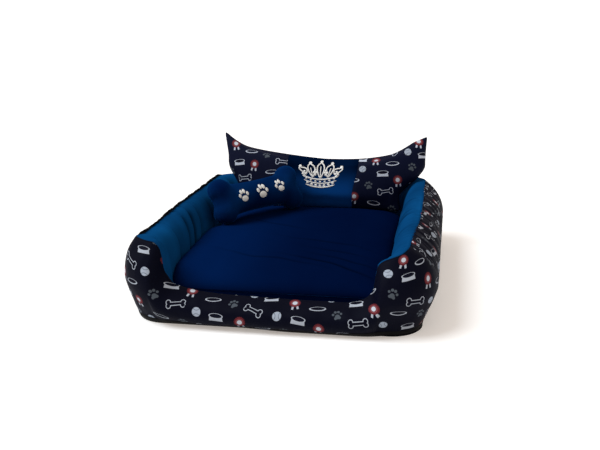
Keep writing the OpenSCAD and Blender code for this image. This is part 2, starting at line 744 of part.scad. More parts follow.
module bone_cover(side) {
    inner = [for (k = reverse(bone_shares))
        bone_loop(bone_in(k, cloth_t), side * (seam_gap / 2 + bone_swell * bone_swell_at(k)))];
    outer = [for (k = bone_shares)
        bone_loop(k, side * (seam_gap / 2 + (bone_swell + cloth_t) * bone_swell_at(k)))];
    color(VELVET) on_bone() loft(concat(inner, outer), nested = true);
}

module bone_pillow_filling() {
    shares = [for (i = [1 : 4]) bone_shares[i]];
    function loop_at(k, side) = bone_loop(bone_in(k, cloth_t + fill_gap),
                                          side * (bone_swell - fill_gap) * bone_swell_at(k));
    color(WADDING) on_bone() loft(concat([for (k = reverse(shares)) loop_at(k, -1)],
                                         [for (k = shares) loop_at(k, 1)]), nested = true);
}

base_cloth();
base_band();
base_wadding();
floor_lining();
color(PRINT) front_cover("outer");  // front_wall_outer_cover
color(WALL_VELVET) front_cover("inner");  // front_wall_inner_cover
front_wall_filling();
post_filling(-1);  // left_post_filling
post_filling(1);  // right_post_filling
side_outer_cover(-1);  // left_wall_outer_cover
side_inner_cover(-1);  // left_wall_inner_cover
side_filling(-1);  // left_wall_filling
side_outer_cover(1);  // right_wall_outer_cover
side_inner_cover(1);  // right_wall_inner_cover
side_filling(1);  // right_wall_filling
rear_wall_outer_cover();
rear_wall_inner_cover();
rear_wall_filling();
mattress_top_panel();
mattress_boxing();
zip_flap(mattress_zip_z + slot_w / 2, boxing_top);  // mattress_zip_flap_upper
zip_flap(boxing_z, mattress_zip_z - slot_w / 2);  // mattress_zip_flap_lower
mattress_bottom_panel();
mattress_foam();
mattress_zip_half(1);  // mattress_zip_upper_half
mattress_zip_half(-1);  // mattress_zip_lower_half
mattress_zip_slider();
color(PRINT) on_cushion() cushion_front_panel(-1);  // cushion_left_panel
color(VELVET) on_cushion() cushion_front_panel(0);  // cushion_centre_panel
color(PRINT) on_cushion() cushion_front_panel(1);  // cushion_right_panel
color(PRINT) on_cushion() cushion_rear_panel(true);  // cushion_rear_upper_panel
color(PRINT) on_cushion() cushion_rear_panel(false);  // cushion_rear_lower_panel
cushion_filling();
cushion_zip_half(1);  // cushion_zip_upper_half
cushion_zip_half(-1);  // cushion_zip_lower_half
cushion_zip_slider();
cushion_zip_tab();
bone_cover(1);  // bone_pillow_front
bone_cover(-1);  // bone_pillow_rear
bone_pillow_filling();
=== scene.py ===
import bpy
import numpy as np
from mathutils import Matrix, Vector
from mathutils.bvhtree import BVHTree


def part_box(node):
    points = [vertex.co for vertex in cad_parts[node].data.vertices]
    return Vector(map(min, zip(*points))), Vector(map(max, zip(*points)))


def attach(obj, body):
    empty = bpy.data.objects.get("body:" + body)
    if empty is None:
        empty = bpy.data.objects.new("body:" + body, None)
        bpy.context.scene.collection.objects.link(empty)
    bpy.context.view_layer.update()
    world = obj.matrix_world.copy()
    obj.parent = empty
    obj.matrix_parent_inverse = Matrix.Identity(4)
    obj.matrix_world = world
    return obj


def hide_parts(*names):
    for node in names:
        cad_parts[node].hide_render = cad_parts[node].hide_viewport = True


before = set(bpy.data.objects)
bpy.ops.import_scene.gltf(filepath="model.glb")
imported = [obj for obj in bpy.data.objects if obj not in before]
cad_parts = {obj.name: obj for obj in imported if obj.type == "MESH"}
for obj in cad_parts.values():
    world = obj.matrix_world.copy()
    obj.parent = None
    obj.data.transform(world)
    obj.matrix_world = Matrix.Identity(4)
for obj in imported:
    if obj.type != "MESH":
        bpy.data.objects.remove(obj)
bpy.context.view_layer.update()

# Pet bed in printed microfibre and velvet. Shapes are worked out in millimetres in the model's own
# frame: +Z up, front towards -Y, origin on the floor under the middle. The sizes are the part's own,
# or are read from the picture where they say so.
MM = 0.001

# The front wall's upper edge, read at its bends, as x and height. It follows the picture a little
# closer than the solids do.
FRONT_LINE = np.array([
    [-300, 155], [-271, 155], [-248, 155], [-231, 147], [-224, 135], [-222, 122], [-219, 108], [-209, 93],
    [-202, 81.5], [-194, 74], [-171, 68], [-151, 63.5], [-105, 59], [0, 56], [62, 55.3], [139, 55.4],
    [156, 57], [165, 60], [179, 66.5], [191, 77.5], [195, 88], [196.4, 100], [197, 113], [198.5, 125],
    [204, 133.5], [213, 139.3], [240, 144.3], [279, 150], [300, 155]]).T
# Walls: half width, half depth, height, corner radius outside and inside, and the well's sides
HALF_W, HALF_D, SIDE_H, CORNER_R, INNER_R = 300, 325, 155, 88, 8
WELL_X, WELL_FRONT, WELL_REAR = 207, 263, 260
# How far the foot and the ridges stand in from the outside
FOOT_IN, RIDGE_IN, FRONT_RIDGE_IN, REAR_RIDGE_IN = 31, 46, 40, 32
# The left post's raised corner: height, reach outwards, place and spread in degrees
EAR_H, EAR_OUT, EAR_ANGLE, EAR_SPREAD = 5, 12, 30, 22
# Thickness of the base cloth and of the walls' and the mattress's covers
BASE_T, CLOTH_T = 2, 2
# Ruching: valleys on a side, how far the tops stand out and the valleys go in, and cloth to seam
GATHERS, GATHER_TOP, GATHER_VALLEY, GATHER_RATIO = 13, 1.4, 7.6, 1.6
# Read from the picture: the sides' sag to the rear, how far they are drawn in at half their height,
# and how far the right ridge bends in to the front
SAG_LEFT, SAG_RIGHT, DRAWN_LEFT, DRAWN_RIGHT, RIDGE_BEND = 8, 2, 6, 4, 9
# Read from the picture: the front corners fall nearly straight beyond this x and y, over this
# length, the left one by a share, with the foot further in
CUT_X, CUT_Y, CUT_OVER, CUT_LEFT, CUT_IN = 150, 180, 70, 0.35, 4
# Read from the picture: the front's foot stands out between two places along it, beyond this y
PROUD, PROUD_FROM, PROUD_TO, PROUD_Y = 8, -80, 235, 290
# An outer cover swells from its foot as one power, less where its corner is cut or its side drawn
# in, and draws in to its ridge as another
SWELL, SWELL_CUT, SWELL_DRAWN, SWELL_LEAST, DRAW_IN = 2.2, 1.1, 0.1, 1.1, 2.4
# An inner cover falls as a power of a sine: straight down where the wall is as low as the first
# height, rounded where it is as high as the second. The last is its share above half height
STRAIGHT, ROUNDED, STRAIGHT_H, ROUNDED_H, SHOULDER = 3.0, 0.7, 75, 135, 0.75
# A fold in the velvet: half its width, the bulge beside it as a share of its depth with its
# distance and half width, and how far the painted shade in its crease reaches to the rear and to
# the front
FOLD_W, BULGE, BULGE_OFF, BULGE_W, CREASE_REAR, CREASE_FRONT = 4.5, 0.35, 13, 11, 12, 6
# From pucker to pucker below a ridge, and how deep a seam allowance's root lies in the seam
PUCKER_GAP, FRILL_SUNK = 19, 1.5
# The bottom band's profile, as height and distance from the wall
BAND_PROFILE = np.array([[1.2, 1.2], [1.8, 2.2], [3.4, 2.7], [6.0, 2.7], [8.8, 2.4], [10.8, 1.3],
                         [11.4, 0.2]])
# Mattress: half width, half depth, middle and corner radius, heights of its bottom and its seam,
# the crown's rise over the seam, and how far the sides are drawn in
MATTRESS_X, MATTRESS_Y, MATTRESS_MID, MATTRESS_R = 205.5, 260, -1.5, 30
MATTRESS_Z, MATTRESS_SEAM_Z, CROWN, PULL = 9.8, 54.8, 43, 4
# The crown's power, how far the left wall pushes the seam up, and where the boxing ends at the zip
CROWN_POWER, FULLNESS, BOXING_END = 6, 23, 139
# Read from the picture: how the mattress's creases slant, half their width, and each one's place,
# middle, reach and depth
CREASE_SLANT, CREASE_W = 0.35, 3.4
MATTRESS_CREASES = ((-165, 95, 75, 3.4), (-132, 120, 60, 2.6), (-92, 100, 50, 2.2),
                    (-45, 70, 80, 2.2), (-188, -30, 90, 2.0), (30, -60, 70, 1.5))
# Back cushion: its foot, its lean in degrees, its sizes, its bulge to the front and to the rear, its
# shift to the right above the walls, the centre panel's width, how far its left corner is pulled
# further out, and the zip's slot
CUSHION_Y, CUSHION_Z, LEAN = 233, 84.018, 20
CUSHION_W, CUSHION_FOOT_W, CUSHION_H, CUSHION_DIP, CUSHION_PULL = 488, 392, 171, 46, 5
CUSHION_FRONT, CUSHION_REAR, SHIFT, PANEL_W, CORNER_OUT = 34, 12, 12, 168, 6
ZIP_V, SLOT_W, SLOT_END = 95, 11, 125
# Bone pillow: its lobes' middle and radius, half its waist and its crown
BONE_REACH, LOBE_RISE, LOBE_R, WAIST_R, BONE_SWELL = 91, 26, 26, 34, 30
# Steps of each cloth simulation, and how far off the embroidery's rays start
FRAMES, RAY_START = 20, 120
# The camera, worked out from the picture: place, yaw, pitch and roll in degrees, and in pixels its
# focal length, its shift to the right and up, and the picture's width
CAMERA_AT, CAMERA_TURN = (310.44, -1677.58, 628.69), (-9.4427, 16.8109, -0.461)
FOCAL_PX, LENS_SHIFT, PHOTO_W = 834.88, (-14.75, -0.9), 600


# Materials

def linear(hex_colour):
    """An sRGB hex colour as linear red, green, blue and 1."""
    c = np.array([int(hex_colour[i:i + 2], 16) for i in (1, 3, 5)]) / 255
    return (*np.where(c <= 0.04045, c / 12.92, ((c + 0.055) / 1.055) ** 2.4).tolist(), 1.0)


def add(tree, kind, inputs=(), out=0, **settings):
    """Adds one node with its settings and its values or links, and returns its output, if it has one."""
    n = tree.nodes.new("ShaderNode" + kind)
    for name, value in settings.items():
        setattr(n, name, value)
    for key, value in (inputs.items() if isinstance(inputs, dict) else enumerate(inputs)):
        if isinstance(value, bpy.types.NodeSocket):
            tree.links.new(value, n.inputs[key])
        elif value is not None:
            n.inputs[key].default_value = value
    return n.outputs[out] if len(n.outputs) else None


def material(name):
    """An empty node material: returns it and its tree."""
    m = bpy.data.materials.new(name)
    m.use_nodes = True
    m.node_tree.nodes.clear()
    return m, m.node_tree


def finish_material(tree, colour, bump, **shader):
    """Ends a tree in one Principled shader."""
    out = add(tree, "BsdfPrincipled", {"Base Color": colour, "Normal": bump, **shader})
    add(tree, "OutputMaterial", {"Surface": out})


def velvet(name, dark, light, sheen, tint, painted_light_ramp=None):
    """Short-pile velvet, brushed by hand: soft clouds where the pile lies the other way, and a
    tinted sheen at a glancing angle, with no gloss of its own. The pile is 0.6 mm, drawn 1.5 mm
    coarse so that it shows. Where its mesh's attribute crease says 1, the colour and the sheen are
    painted down to near black: painted shade in the creases. The last argument, if given, is an
    axis and two places on it in metres between which the colour is painted from the dark shade
    to the light one: painted light."""
    m, t = material(name)
    at = add(t, "TexCoord", out=3)
    cloud = add(t, "TexNoise", {"Vector": at, "Scale": 5.0, "Detail": 2.0, "Roughness": 0.5,
                                "Distortion": 0.8})
    streak = add(t, "TexNoise", {"Vector": add(t, "Mapping", {"Vector": at, "Scale": (13, 5, 9)}),
                                 "Scale": 1.0, "Detail": 2.0})
    both = add(t, "Math", (cloud, streak), operation="MULTIPLY")
    share = add(t, "MapRange", {"Value": both, "From Min": 0.12, "From Max": 0.42})
    # painted light: along one axis the colour turns from the dark shade to the light one
    if painted_light_ramp:
        axis, first, last = painted_light_ramp
        clouds = 0.12
        place = add(t, "SeparateXYZ", (at,)).node.outputs[axis]
        turned = add(t, "MapRange", {"Value": place, "From Min": first, "From Max": last},
                     interpolation_type="SMOOTHSTEP")
        turned = add(t, "Math", (turned, 1 - clouds), operation="MULTIPLY")
        share = add(t, "Math", (share, clouds, turned), operation="MULTIPLY_ADD")
    colour = add(t, "Mix", {0: share, 6: linear(dark), 7: linear(light)}, 2, data_type="RGBA")
    # painted shade in creases: the colour goes near black and the sheen fades where the attribute crease
    # says 1
    crease = add(t, "Attribute", out=2, attribute_name="crease")
    colour = add(t, "Mix", {0: crease, 6: colour, 7: linear("#00040c")}, 2, data_type="RGBA")
    pile = add(t, "TexNoise", {"Vector": at, "Scale": 670.0, "Detail": 2.0})
    bump = add(t, "Bump", {"Strength": 0.25, "Distance": 0.0006, "Height": pile})
    sheen = add(t, "MapRange", {"Value": crease, "To Min": sheen, "To Max": 0.0})
    finish_material(t, colour, bump, **{"Roughness": 0.95, "Specular IOR Level": 0.0,
                                        "Sheen Weight": sheen, "Sheen Roughness": 0.35,
                                        "Sheen Tint": linear(tint)})
    return m


# Print motifs in millimetres about their own middle: circles as x, y and radius, and boxes as a
# middle and half sizes
PAW = [(-7.2, 2.4, 2.3), (-2.8, 6.8, 2.6), (2.8, 6.8, 2.6), (7.2, 2.4, 2.3),
       (0, -2.6, 4.4), (-3.6, -5.0, 2.6), (3.6, -5.0, 2.6)]
BONE_LOBE, BONE_SHAFT = [(13.4, 3.2, 4.2)], ((0, 0), (13.4, 3.0))
BALL, BALL_SEAMS = [(0, 0, 8.0)], [(-10.5, 0, 7.6), (10.5, 0, 7.6)]
# a ring seen from above its rim is this much wider than high, and a bowl spreads to its foot
SEEN_FLAT, BOWL_SPREAD = 3.2, 0.14
BOWL_MOUTH, BOWL_BODY = [(0, 12.8, 12.4)], ((0, -0.6), (12.2, 4.8))
COLLAR, COLLAR_INSIDE, COLLAR_LINE = [(0, 0, 15.2)], [(0, 3.4, 13.0)], [(0, 0, 14.2)]
DISC, RING, MIDDLE, PLEATS, PLEAT_DEPTH = [(0, 3, 10.2)], [(0, 3, 6.4)], [(0, 3, 4.6)], 18, 0.4
TAIL, TAIL_ROOT = ((3.9, -9.6), (1.9, 3.4)), (3.6, -6, 0)


def circles(t, at, spots):
    """Distance in millimetres to the nearest of some circles, below 0 inside."""
    near = None
    for x, y, r in spots:
        gap = add(t, "VectorMath", (at, (x, y, 0)), 1, operation="DISTANCE")
        gap = add(t, "Math", (gap, r), operation="SUBTRACT")
        near = gap if near is None else add(t, "Math", (near, gap), operation="MINIMUM")
    return near


def boxed(t, at, box):
    """Distance in millimetres to a box, given as its middle and half its sizes, below 0 inside: the
    larger of how far the place is past it along x and along y."""
    middle, half = box
    off = add(t, "VectorMath", (at, (*middle, 0)), operation="SUBTRACT")
    off = add(t, "VectorMath", (off,), operation="ABSOLUTE")
    off = add(t, "VectorMath", (off, (*half, 0)), operation="SUBTRACT")
    xyz = add(t, "SeparateXYZ", (off,)).node.outputs
    return add(t, "Math", (xyz[0], xyz[1]), operation="MAXIMUM")


def stroke(t, gap, width):
    """Distance to a line of some width drawn along a shape's edge: the distance to the edge less
    half the width."""
    gap = add(t, "Math", (gap,), operation="ABSOLUTE")
    return add(t, "Math", (gap, width / 2), operation="SUBTRACT")


def printed_cloth(name, dark, light, white):
    """Woven microfibre with a dye-sublimation print: small kennel motifs tossed on a staggered and
    turned lattice over near-black navy. The print is flat and has the cloth's own faint gloss. Each
    motif is ink where a distance to circles, boxes or lines is below 0."""
    m, t = material(name)
    uv = add(t, "UVMap", uv_map="cloth")
    wide, high, slope = 42, 33, 0.26
    cell = add(t, "VectorRotate", {"Vector": uv, "Angle": slope}, rotation_type="Z_AXIS")
    cell = add(t, "VectorMath", (cell, (1 / MM / wide, 1 / MM / high, 1)), operation="MULTIPLY")
    xyz = add(t, "SeparateXYZ", (cell,)).node.outputs
    row = add(t, "Math", (xyz[1],), operation="FLOOR")
    odd = add(t, "Math", (row, 2.0), operation="FLOORED_MODULO")
    x = add(t, "Math", (odd, 0.5, xyz[0]), operation="MULTIPLY_ADD")
    column = add(t, "Math", (x,), operation="FLOOR")
    home = add(t, "CombineXYZ", (column, row))
    luck = add(t, "TexWhiteNoise", {"Vector": home}, 1, noise_dimensions="3D")
    # millimetres about the motif's middle, shifted by up to 4.5 and turned by its luck
    local = add(t, "VectorMath", (add(t, "CombineXYZ", (x, xyz[1])), home), operation="SUBTRACT")
    local = add(t, "VectorMath", (local, (0.5, 0.5, 0)), operation="SUBTRACT")
    local = add(t, "VectorMath", (local, (wide, high, 0)), operation="MULTIPLY")
    push = add(t, "VectorMath", (luck, (0.5, 0.5, 0.5)), operation="SUBTRACT")
    local = add(t, "VectorMath", (push, (9, 7, 0), local), operation="MULTIPLY_ADD")
    turn = add(t, "SeparateXYZ", (push,)).node.outputs[2]

    def turned(most):
        """The place turned upright again, and then by up to most radians either way."""
        angle = add(t, "Math", (turn, 2 * most, -slope), operation="MULTIPLY_ADD")
        return add(t, "VectorRotate", {"Vector": local, "Angle": angle}, rotation_type="Z_AXIS")

    def folded(at):
        """The place mirrored onto the right half."""
        xy = add(t, "SeparateXYZ", (at,)).node.outputs
        return add(t, "CombineXYZ", (add(t, "Math", (xy[0],), operation="ABSOLUTE"), xy[1]))

    upright, tipped, tossed = turned(0.2), turned(0.6), turned(2.4)
    paw = circles(t, tipped, PAW)
    # bone: an outline round two pairs of lobes and a shaft
    quarter = add(t, "VectorMath", (tipped,), operation="ABSOLUTE")
    bone = add(t, "Math", (circles(t, quarter, BONE_LOBE), boxed(t, tipped, BONE_SHAFT)),
               operation="MINIMUM")
    bone = stroke(t, bone, 1.3)
    # ball with two curved seams
    ball = circles(t, tossed, BALL)
    seam = stroke(t, circles(t, tossed, BALL_SEAMS), 1.0)
    seam = add(t, "Math", (seam, ball), operation="MAXIMUM")
    # bowl: a ring seen from above its rim, over a plain body that spreads to its foot
    flat = add(t, "VectorMath", (upright, (1, SEEN_FLAT, 1)), operation="MULTIPLY")
    mouth = circles(t, flat, BOWL_MOUTH)
    rim = stroke(t, mouth, 2.0)
    half = add(t, "SeparateXYZ", (folded(upright),)).node.outputs
    spread = add(t, "Math", (half[1], BOWL_SPREAD, half[0]), operation="MULTIPLY_ADD")
    body = boxed(t, add(t, "CombineXYZ", (spread, half[1])), BOWL_BODY)
    # collar: a flat band bent to a ring, its near half broader
    outside = add(t, "Math", (circles(t, flat, COLLAR_INSIDE), -1.0), operation="MULTIPLY")
    band = add(t, "Math", (circles(t, flat, COLLAR), outside), operation="MAXIMUM")
    band = add(t, "Math", (band, stroke(t, circles(t, flat, COLLAR_LINE), 2.0)), operation="MINIMUM")
    # rosette: a pleated disc with a paler ring, a plain white middle and two tails
    raised = add(t, "VectorMath", (upright, (0, DISC[0][1], 0)), operation="SUBTRACT")
    polar = add(t, "TexGradient", {"Vector": raised}, 1, gradient_type="RADIAL")
    pleat = add(t, "Math", (add(t, "Math", (polar, 2 * np.pi * PLEATS), operation="MULTIPLY"),),
                operation="SINE")
    disc = add(t, "Math", (pleat, -PLEAT_DEPTH, circles(t, upright, DISC)), operation="MULTIPLY_ADD")
    ring = stroke(t, circles(t, upright, RING), 1.6)
    middle = circles(t, upright, MIDDLE)
    tail = add(t, "VectorRotate", {"Vector": folded(upright), "Center": TAIL_ROOT, "Angle": -0.2},
               rotation_type="Z_AXIS")
    tail = boxed(t, tail, TAIL)

    order = add(t, "Math", (row, 2.0, column), operation="MULTIPLY_ADD")
    kinds = add(t, "Math", (order, 6.0), operation="FLOORED_MODULO")

    def inked(gap, kind):
        """1 on the motif's ink where this cell holds that kind, with an edge 0.4 mm soft."""
        ink = add(t, "MapRange", {"Value": gap, "From Min": 0.2, "From Max": -0.2})
        own = add(t, "Math", (kinds, kind, 0.1), operation="COMPARE")
        return add(t, "Math", (ink, own), operation="MULTIPLY")

    speck = add(t, "TexNoise", {"Vector": uv, "Scale": 900.0, "Detail": 2.0})
    colour = add(t, "Mix", {0: speck, 6: linear(dark), 7: linear(light)}, 2, data_type="RGBA")
    for gap, kind, ink in ((paw, 0, "#4d545c"), (bone, 1, white), (ball, 2, "#a3acba"),
                           (seam, 2, "#5f6773"), (body, 3, white), (mouth, 3, "#0b0d1c"),
                           (rim, 3, white), (tail, 4, white), (disc, 4, "#62242a"),
                           (ring, 4, "#87494d"), (middle, 4, "#c3c8d2"), (band, 5, white)):
        colour = add(t, "Mix", {0: inked(gap, kind), 6: colour, 7: linear(ink)}, 2, data_type="RGBA")
    weave = add(t, "TexWave", {"Vector": uv, "Scale": 260.0, "Distortion": 1.5, "Detail": 1.0},
                1, wave_type="BANDS", bands_direction="DIAGONAL")
    creases = add(t, "TexNoise", {"Vector": uv, "Scale": 60.0, "Detail": 4.0})
    bump = add(t, "Bump", {"Strength": 0.25, "Distance": 0.0015, "Height": creases})
    bump = add(t, "Bump", {"Strength": 0.12, "Distance": 0.0003, "Height": weave, "Normal": bump})
    finish_material(t, colour, bump, **{"Roughness": 0.62, "Specular IOR Level": 0.05,
                                        "Sheen Weight": 0.04, "Sheen Roughness": 0.4,
                                        "Sheen Tint": linear("#3c4a86")})
    return m


def plain_cloth(name, dark, light, scale, roughness, dots=False):
    """Plain woven cloth: two shades crossed in a fine weave. With dots it is the non-slip base
    cloth, whose rubber dots stand 4 mm apart."""
    m, t = material(name)
    at = add(t, "TexCoord", out=3)
    weave = add(t, "TexWave", {"Vector": at, "Scale": scale, "Distortion": 2.0, "Detail": 1.0}, 1)
    colour = add(t, "Mix", {0: weave, 6: linear(dark), 7: linear(light)}, 2, data_type="RGBA")
    height = weave
    if dots:
        height = add(t, "TexVoronoi", {"Vector": at, "Scale": 250.0, "Randomness": 0.0}, 0)
        height = add(t, "MapRange", {"Value": height, "From Min": 0.35, "From Max": 0.2})
    bump = add(t, "Bump", {"Strength": 0.3, "Distance": 0.0005, "Height": height})
    finish_material(t, colour, bump, **{"Roughness": roughness, "Specular IOR Level": 0.12})
    return m


def thread():
    """Metallic embroidery thread in satin stitch: fine ridges that lie side by side across
    each stroke, 0.4 mm thick and drawn 2 mm apart, each painted whiter along its top: a painted
    highlight."""
    m, t = material("silver_thread")
    uv = add(t, "UVMap", uv_map="cloth")
    ply = add(t, "TexWave", {"Vector": uv, "Scale": 160.0, "Distortion": 0.6}, 1)
    # painted highlight: the colour whitens towards each ridge's top
    colour = add(t, "Mix", {0: ply, 6: linear("#d6d3c8"), 7: linear("#ffffff")}, 2, data_type="RGBA")
    bump = add(t, "Bump", {"Strength": 0.5, "Distance": 0.0004, "Height": ply})
    finish_material(t, colour, bump, **{"Roughness": 0.38, "Metallic": 0.1, "Sheen Weight": 0.3})
    return m


def plated_steel():
    """Nickel-plated pressed steel of a zip slider: bright, with fine scuffs."""
    m, t = material("nickel_plated_steel")
    along = add(t, "Mapping", {"Vector": add(t, "TexCoord", out=3), "Scale": (900, 120, 900)})
    scuff = add(t, "TexNoise", {"Vector": along, "Detail": 3.0})
    rough = add(t, "MapRange", {"Value": scuff, "To Min": 0.22, "To Max": 0.42})
    bump = add(t, "Bump", {"Strength": 0.1, "Distance": 0.0001, "Height": scuff})
    finish_material(t, linear("#a8aaae"), bump, Metallic=1.0, Roughness=rough)
    return m


# painted shade: the walls' print is the cushion's print painted darker, its ground and its white alike
PRINT = printed_cloth("printed_microfibre_painted_darker", "#020310", "#06081a", "#abb1bc")
CUSHION_PRINT = printed_cloth("printed_cushion_cloth", "#070a1b", "#0d1430", "#bdc4d2")
# painted light: the walls' inner velvet is the same navy velvet painted a lighter blue
LIGHTER_WALL_VELVET = velvet("wall_velvet", "#06335c", "#0c4f86", 0.3, "#1464ac")
# painted light: the mattress's velvet is painted lighter towards the left, and the cushion's centre panel
# darker at its top and lighter lower down
NAVY_VELVET = velvet("navy_velvet", "#010d2e", "#021d4c", 0.1, "#063a86", (0, 0.06, -0.19))
CUSHION_VELVET = velvet("cushion_velvet", "#000412", "#0a3e7e", 0.1, "#0c4f9a", (2, 0.19, 0.125))
PILLOW_VELVET = velvet("pillow_velvet", "#010f36", "#07356a", 0.55, "#0b539a")
THREAD = thread()
BLACK = plain_cloth("black_base_cloth", "#050507", "#101014", 700.0, 0.85, dots=True)
BINDING = plain_cloth("black_binding", "#030304", "#0a0a0d", 900.0, 0.7)
LINING = plain_cloth("lining_cloth", "#141a2a", "#20283c", 800.0, 0.85)
ZIP_CLOTH = plain_cloth("zip_tape_and_teeth", "#0c0f18", "#1b2030", 1100.0, 0.5)
STEEL = plated_steel()


# Shapes in numpy

def smooth(t):
    """3t^2 - 2t^3, held at 0 and 1 outside."""
    t = np.clip(t, 0, 1)
    return t * t * (3 - 2 * t)


def bell(x, w):
    """A bell curve: e to the power -(x/w)^2."""
    return np.exp(-(x / w) ** 2)


def root(x):
    """The square root, and 0 below 0."""
    return np.sqrt(np.maximum(0, x))


def noise(x, y, seed):
    """Smooth noise from -1 to 1: seeded heights on a square lattice, blended by a smoothstep."""
    table = np.random.default_rng(seed).uniform(-1, 1, (64, 64))
    i, j = np.floor(x).astype(int), np.floor(y).astype(int)
    fx, fy = smooth(x - i), smooth(y - j)
    low = table[i % 64, j % 64] * (1 - fx) + table[(i + 1) % 64, j % 64] * fx
    high = table[i % 64, (j + 1) % 64] * (1 - fx) + table[(i + 1) % 64, (j + 1) % 64] * fx
    return low * (1 - fy) + high * fy


def between_rows(a, b, t):
    """Rows on the straight way from a to b, at the shares t of it."""
    return a * (1 - t[:, None]) + b * t[:, None]


def bent_line(a, b, c, t):
    """A curve from a to c that leans towards b: (1-t)^2 a + 2t(1-t) b + t^2 c at each t."""
    t = t[:, None]
    return (1 - t) ** 2 * a + 2 * t * (1 - t) * b + t ** 2 * c


def turned_out(grid):
    """Unit normals of a grid of points: the cross product of its two directions."""
    n = np.cross(np.gradient(grid, axis=0), np.gradient(grid, axis=1))
    return n / np.maximum(np.linalg.norm(n, axis=2, keepdims=True), 1e-9)


def grid_faces(m, n, wrap=False, start=0):
    """Quads of an m by n grid of points, numbered row by row; wrap closes the last column."""
    i, j = np.meshgrid(np.arange(m - 1), np.arange(n if wrap else n - 1), indexing="ij")
    k = (j + 1) % n
    return start + np.stack([i * n + j, i * n + k, (i + 1) * n + k, (i + 1) * n + j], -1).reshape(-1, 4)


def mesh_piece(name, points, faces, finish, cloth=None, crease=None):
    """A shown object from points in millimetres, faces, and for each point a cloth position and how
    much painted shade it gets in a crease, 0 to 1. Faces are an array, or a list where they differ in
    length."""
    mesh = bpy.data.meshes.new(name)
    mesh.from_pydata((np.asarray(points).reshape(-1, 3) * MM).tolist(), [],
                     faces.tolist() if isinstance(faces, np.ndarray) else faces)
    if cloth is not None:
        flat = (cloth.reshape(-1, 2) * MM)[faces.ravel()]
        mesh.uv_layers.new(name="cloth").data.foreach_set("uv", flat.ravel().astype(np.float32))
    # the attribute crease sets the velvet's painted crease shade
    if crease is not None:
        depth = mesh.attributes.new("crease", "FLOAT", "POINT")
        depth.data.foreach_set("value", crease.ravel().astype(np.float32))
    mesh.polygons.foreach_set("use_smooth", [True] * len(mesh.polygons))
    mesh.materials.append(finish)
    obj = bpy.data.objects.new(name, mesh)
    bpy.context.scene.collection.objects.link(obj)
    return obj


def points_of(mesh):
    """A mesh's points in millimetres."""
    flat = np.empty(len(mesh.vertices) * 3)
    mesh.vertices.foreach_get("co", flat)
    return flat.reshape(-1, 3) / MM


def length_gone(path):
    """The length gone at each point of a path: its steps' lengths added up."""
    return np.r_[0, np.cumsum(np.linalg.norm(np.diff(path, axis=0), axis=1))]


def with_heights(xy, z):
    """A grid of points from its plan and its heights."""
    return np.concatenate([xy, z[..., None]], axis=2)


def unit(rows):
    """Each row divided by its own length."""
    return rows / np.linalg.norm(rows, axis=1)[:, None]


def places(gone, n):
    """For a grid with n points up each station: the length gone, and the share of the way up."""
    return np.meshgrid(gone, np.linspace(0, 1, n), indexing="ij")


def rumple(s, v, seed, *layers):
    """Layers of noise added up, each given as its height, its length along and its waves up."""
    return sum(high * noise(s / long, v * waves, seed + i) for i, (high, long, waves) in enumerate(layers))


def subdivide(obj, levels):
    """Smooths a piece by cutting each face in four, so many times."""
    sub = obj.modifiers.new("smoothing", "SUBSURF")
    sub.levels = sub.render_levels = levels
    return obj


def evaluated(obj):
    """A piece as its modifiers leave it."""
    return obj.evaluated_get(bpy.context.evaluated_depsgraph_get())


def thicken(obj, thickness, offset=-1):
    """Gives a sheet its thickness: behind its faces, or both ways where offset is 0."""
    wall = obj.modifiers.new("cloth_thickness", "SOLIDIFY")
    wall.thickness, wall.offset = thickness * MM, offset
    return obj


def dress(obj, body, stands_for=()):
    """Puts a piece on its body, in place of the frame's nodes."""
    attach(obj, body)
    if stands_for:
        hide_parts(*stands_for)


# Walls

def front_height(x):
    """Height of the front wall at x: its read line, averaged over 3 mm either way."""
    return np.mean([np.interp(x + d, *FRONT_LINE) for d in (-3, -1.5, 0, 1.5, 3)], axis=0)


def corner(sx, sy, a):
    """Stations round a corner at angles a: outer x, y, inner x, y, height, ridge depth, and how far
    the side is drawn in at half its height. Both lines are quarter circles, and the left post's
    raised corner is a bell curve of the angle."""
    c, s = np.cos(np.radians(a)), np.sin(np.radians(a))
    right, front = sx > 0, sy < 0
    ear = bell(a - EAR_ANGLE, EAR_SPREAD) * (front and not right)
    bend = RIDGE_BEND * c ** 2 * (front and right)
    well = WELL_FRONT if front else WELL_REAR
    x = sx * (HALF_W - CORNER_R + CORNER_R * c)
    height = front_height(x) if front else SIDE_H - (SAG_RIGHT if right else SAG_LEFT) + 0 * a
    ridge = RIDGE_IN + ((FRONT_RIDGE_IN if front else REAR_RIDGE_IN) - RIDGE_IN) * s
    return np.column_stack([x, sy * (HALF_D - CORNER_R + CORNER_R * s),
                            sx * (WELL_X - INNER_R + INNER_R * c), sy * (well - INNER_R + INNER_R * s),
                            height + EAR_H * ear, ridge - EAR_OUT * ear + bend,
                            (DRAWN_RIGHT if right else DRAWN_LEFT) * c])


def front_run():
    """Stations from the left side's end round the left post, the entry and the right post."""
    x = np.linspace(-HALF_W + CORNER_R, HALF_W - CORNER_R, 341)[1:-1]
    share = (WELL_X - INNER_R) / (HALF_W - CORNER_R)
    entry = np.column_stack([x, 0 * x - HALF_D, x * share, 0 * x - WELL_FRONT, front_height(x),
                             0 * x + FRONT_RIDGE_IN, 0 * x])
    round_post = np.linspace(0, 90, 90)
    return np.vstack([corner(-1, -1, round_post), entry, corner(1, -1, round_post[::-1])])


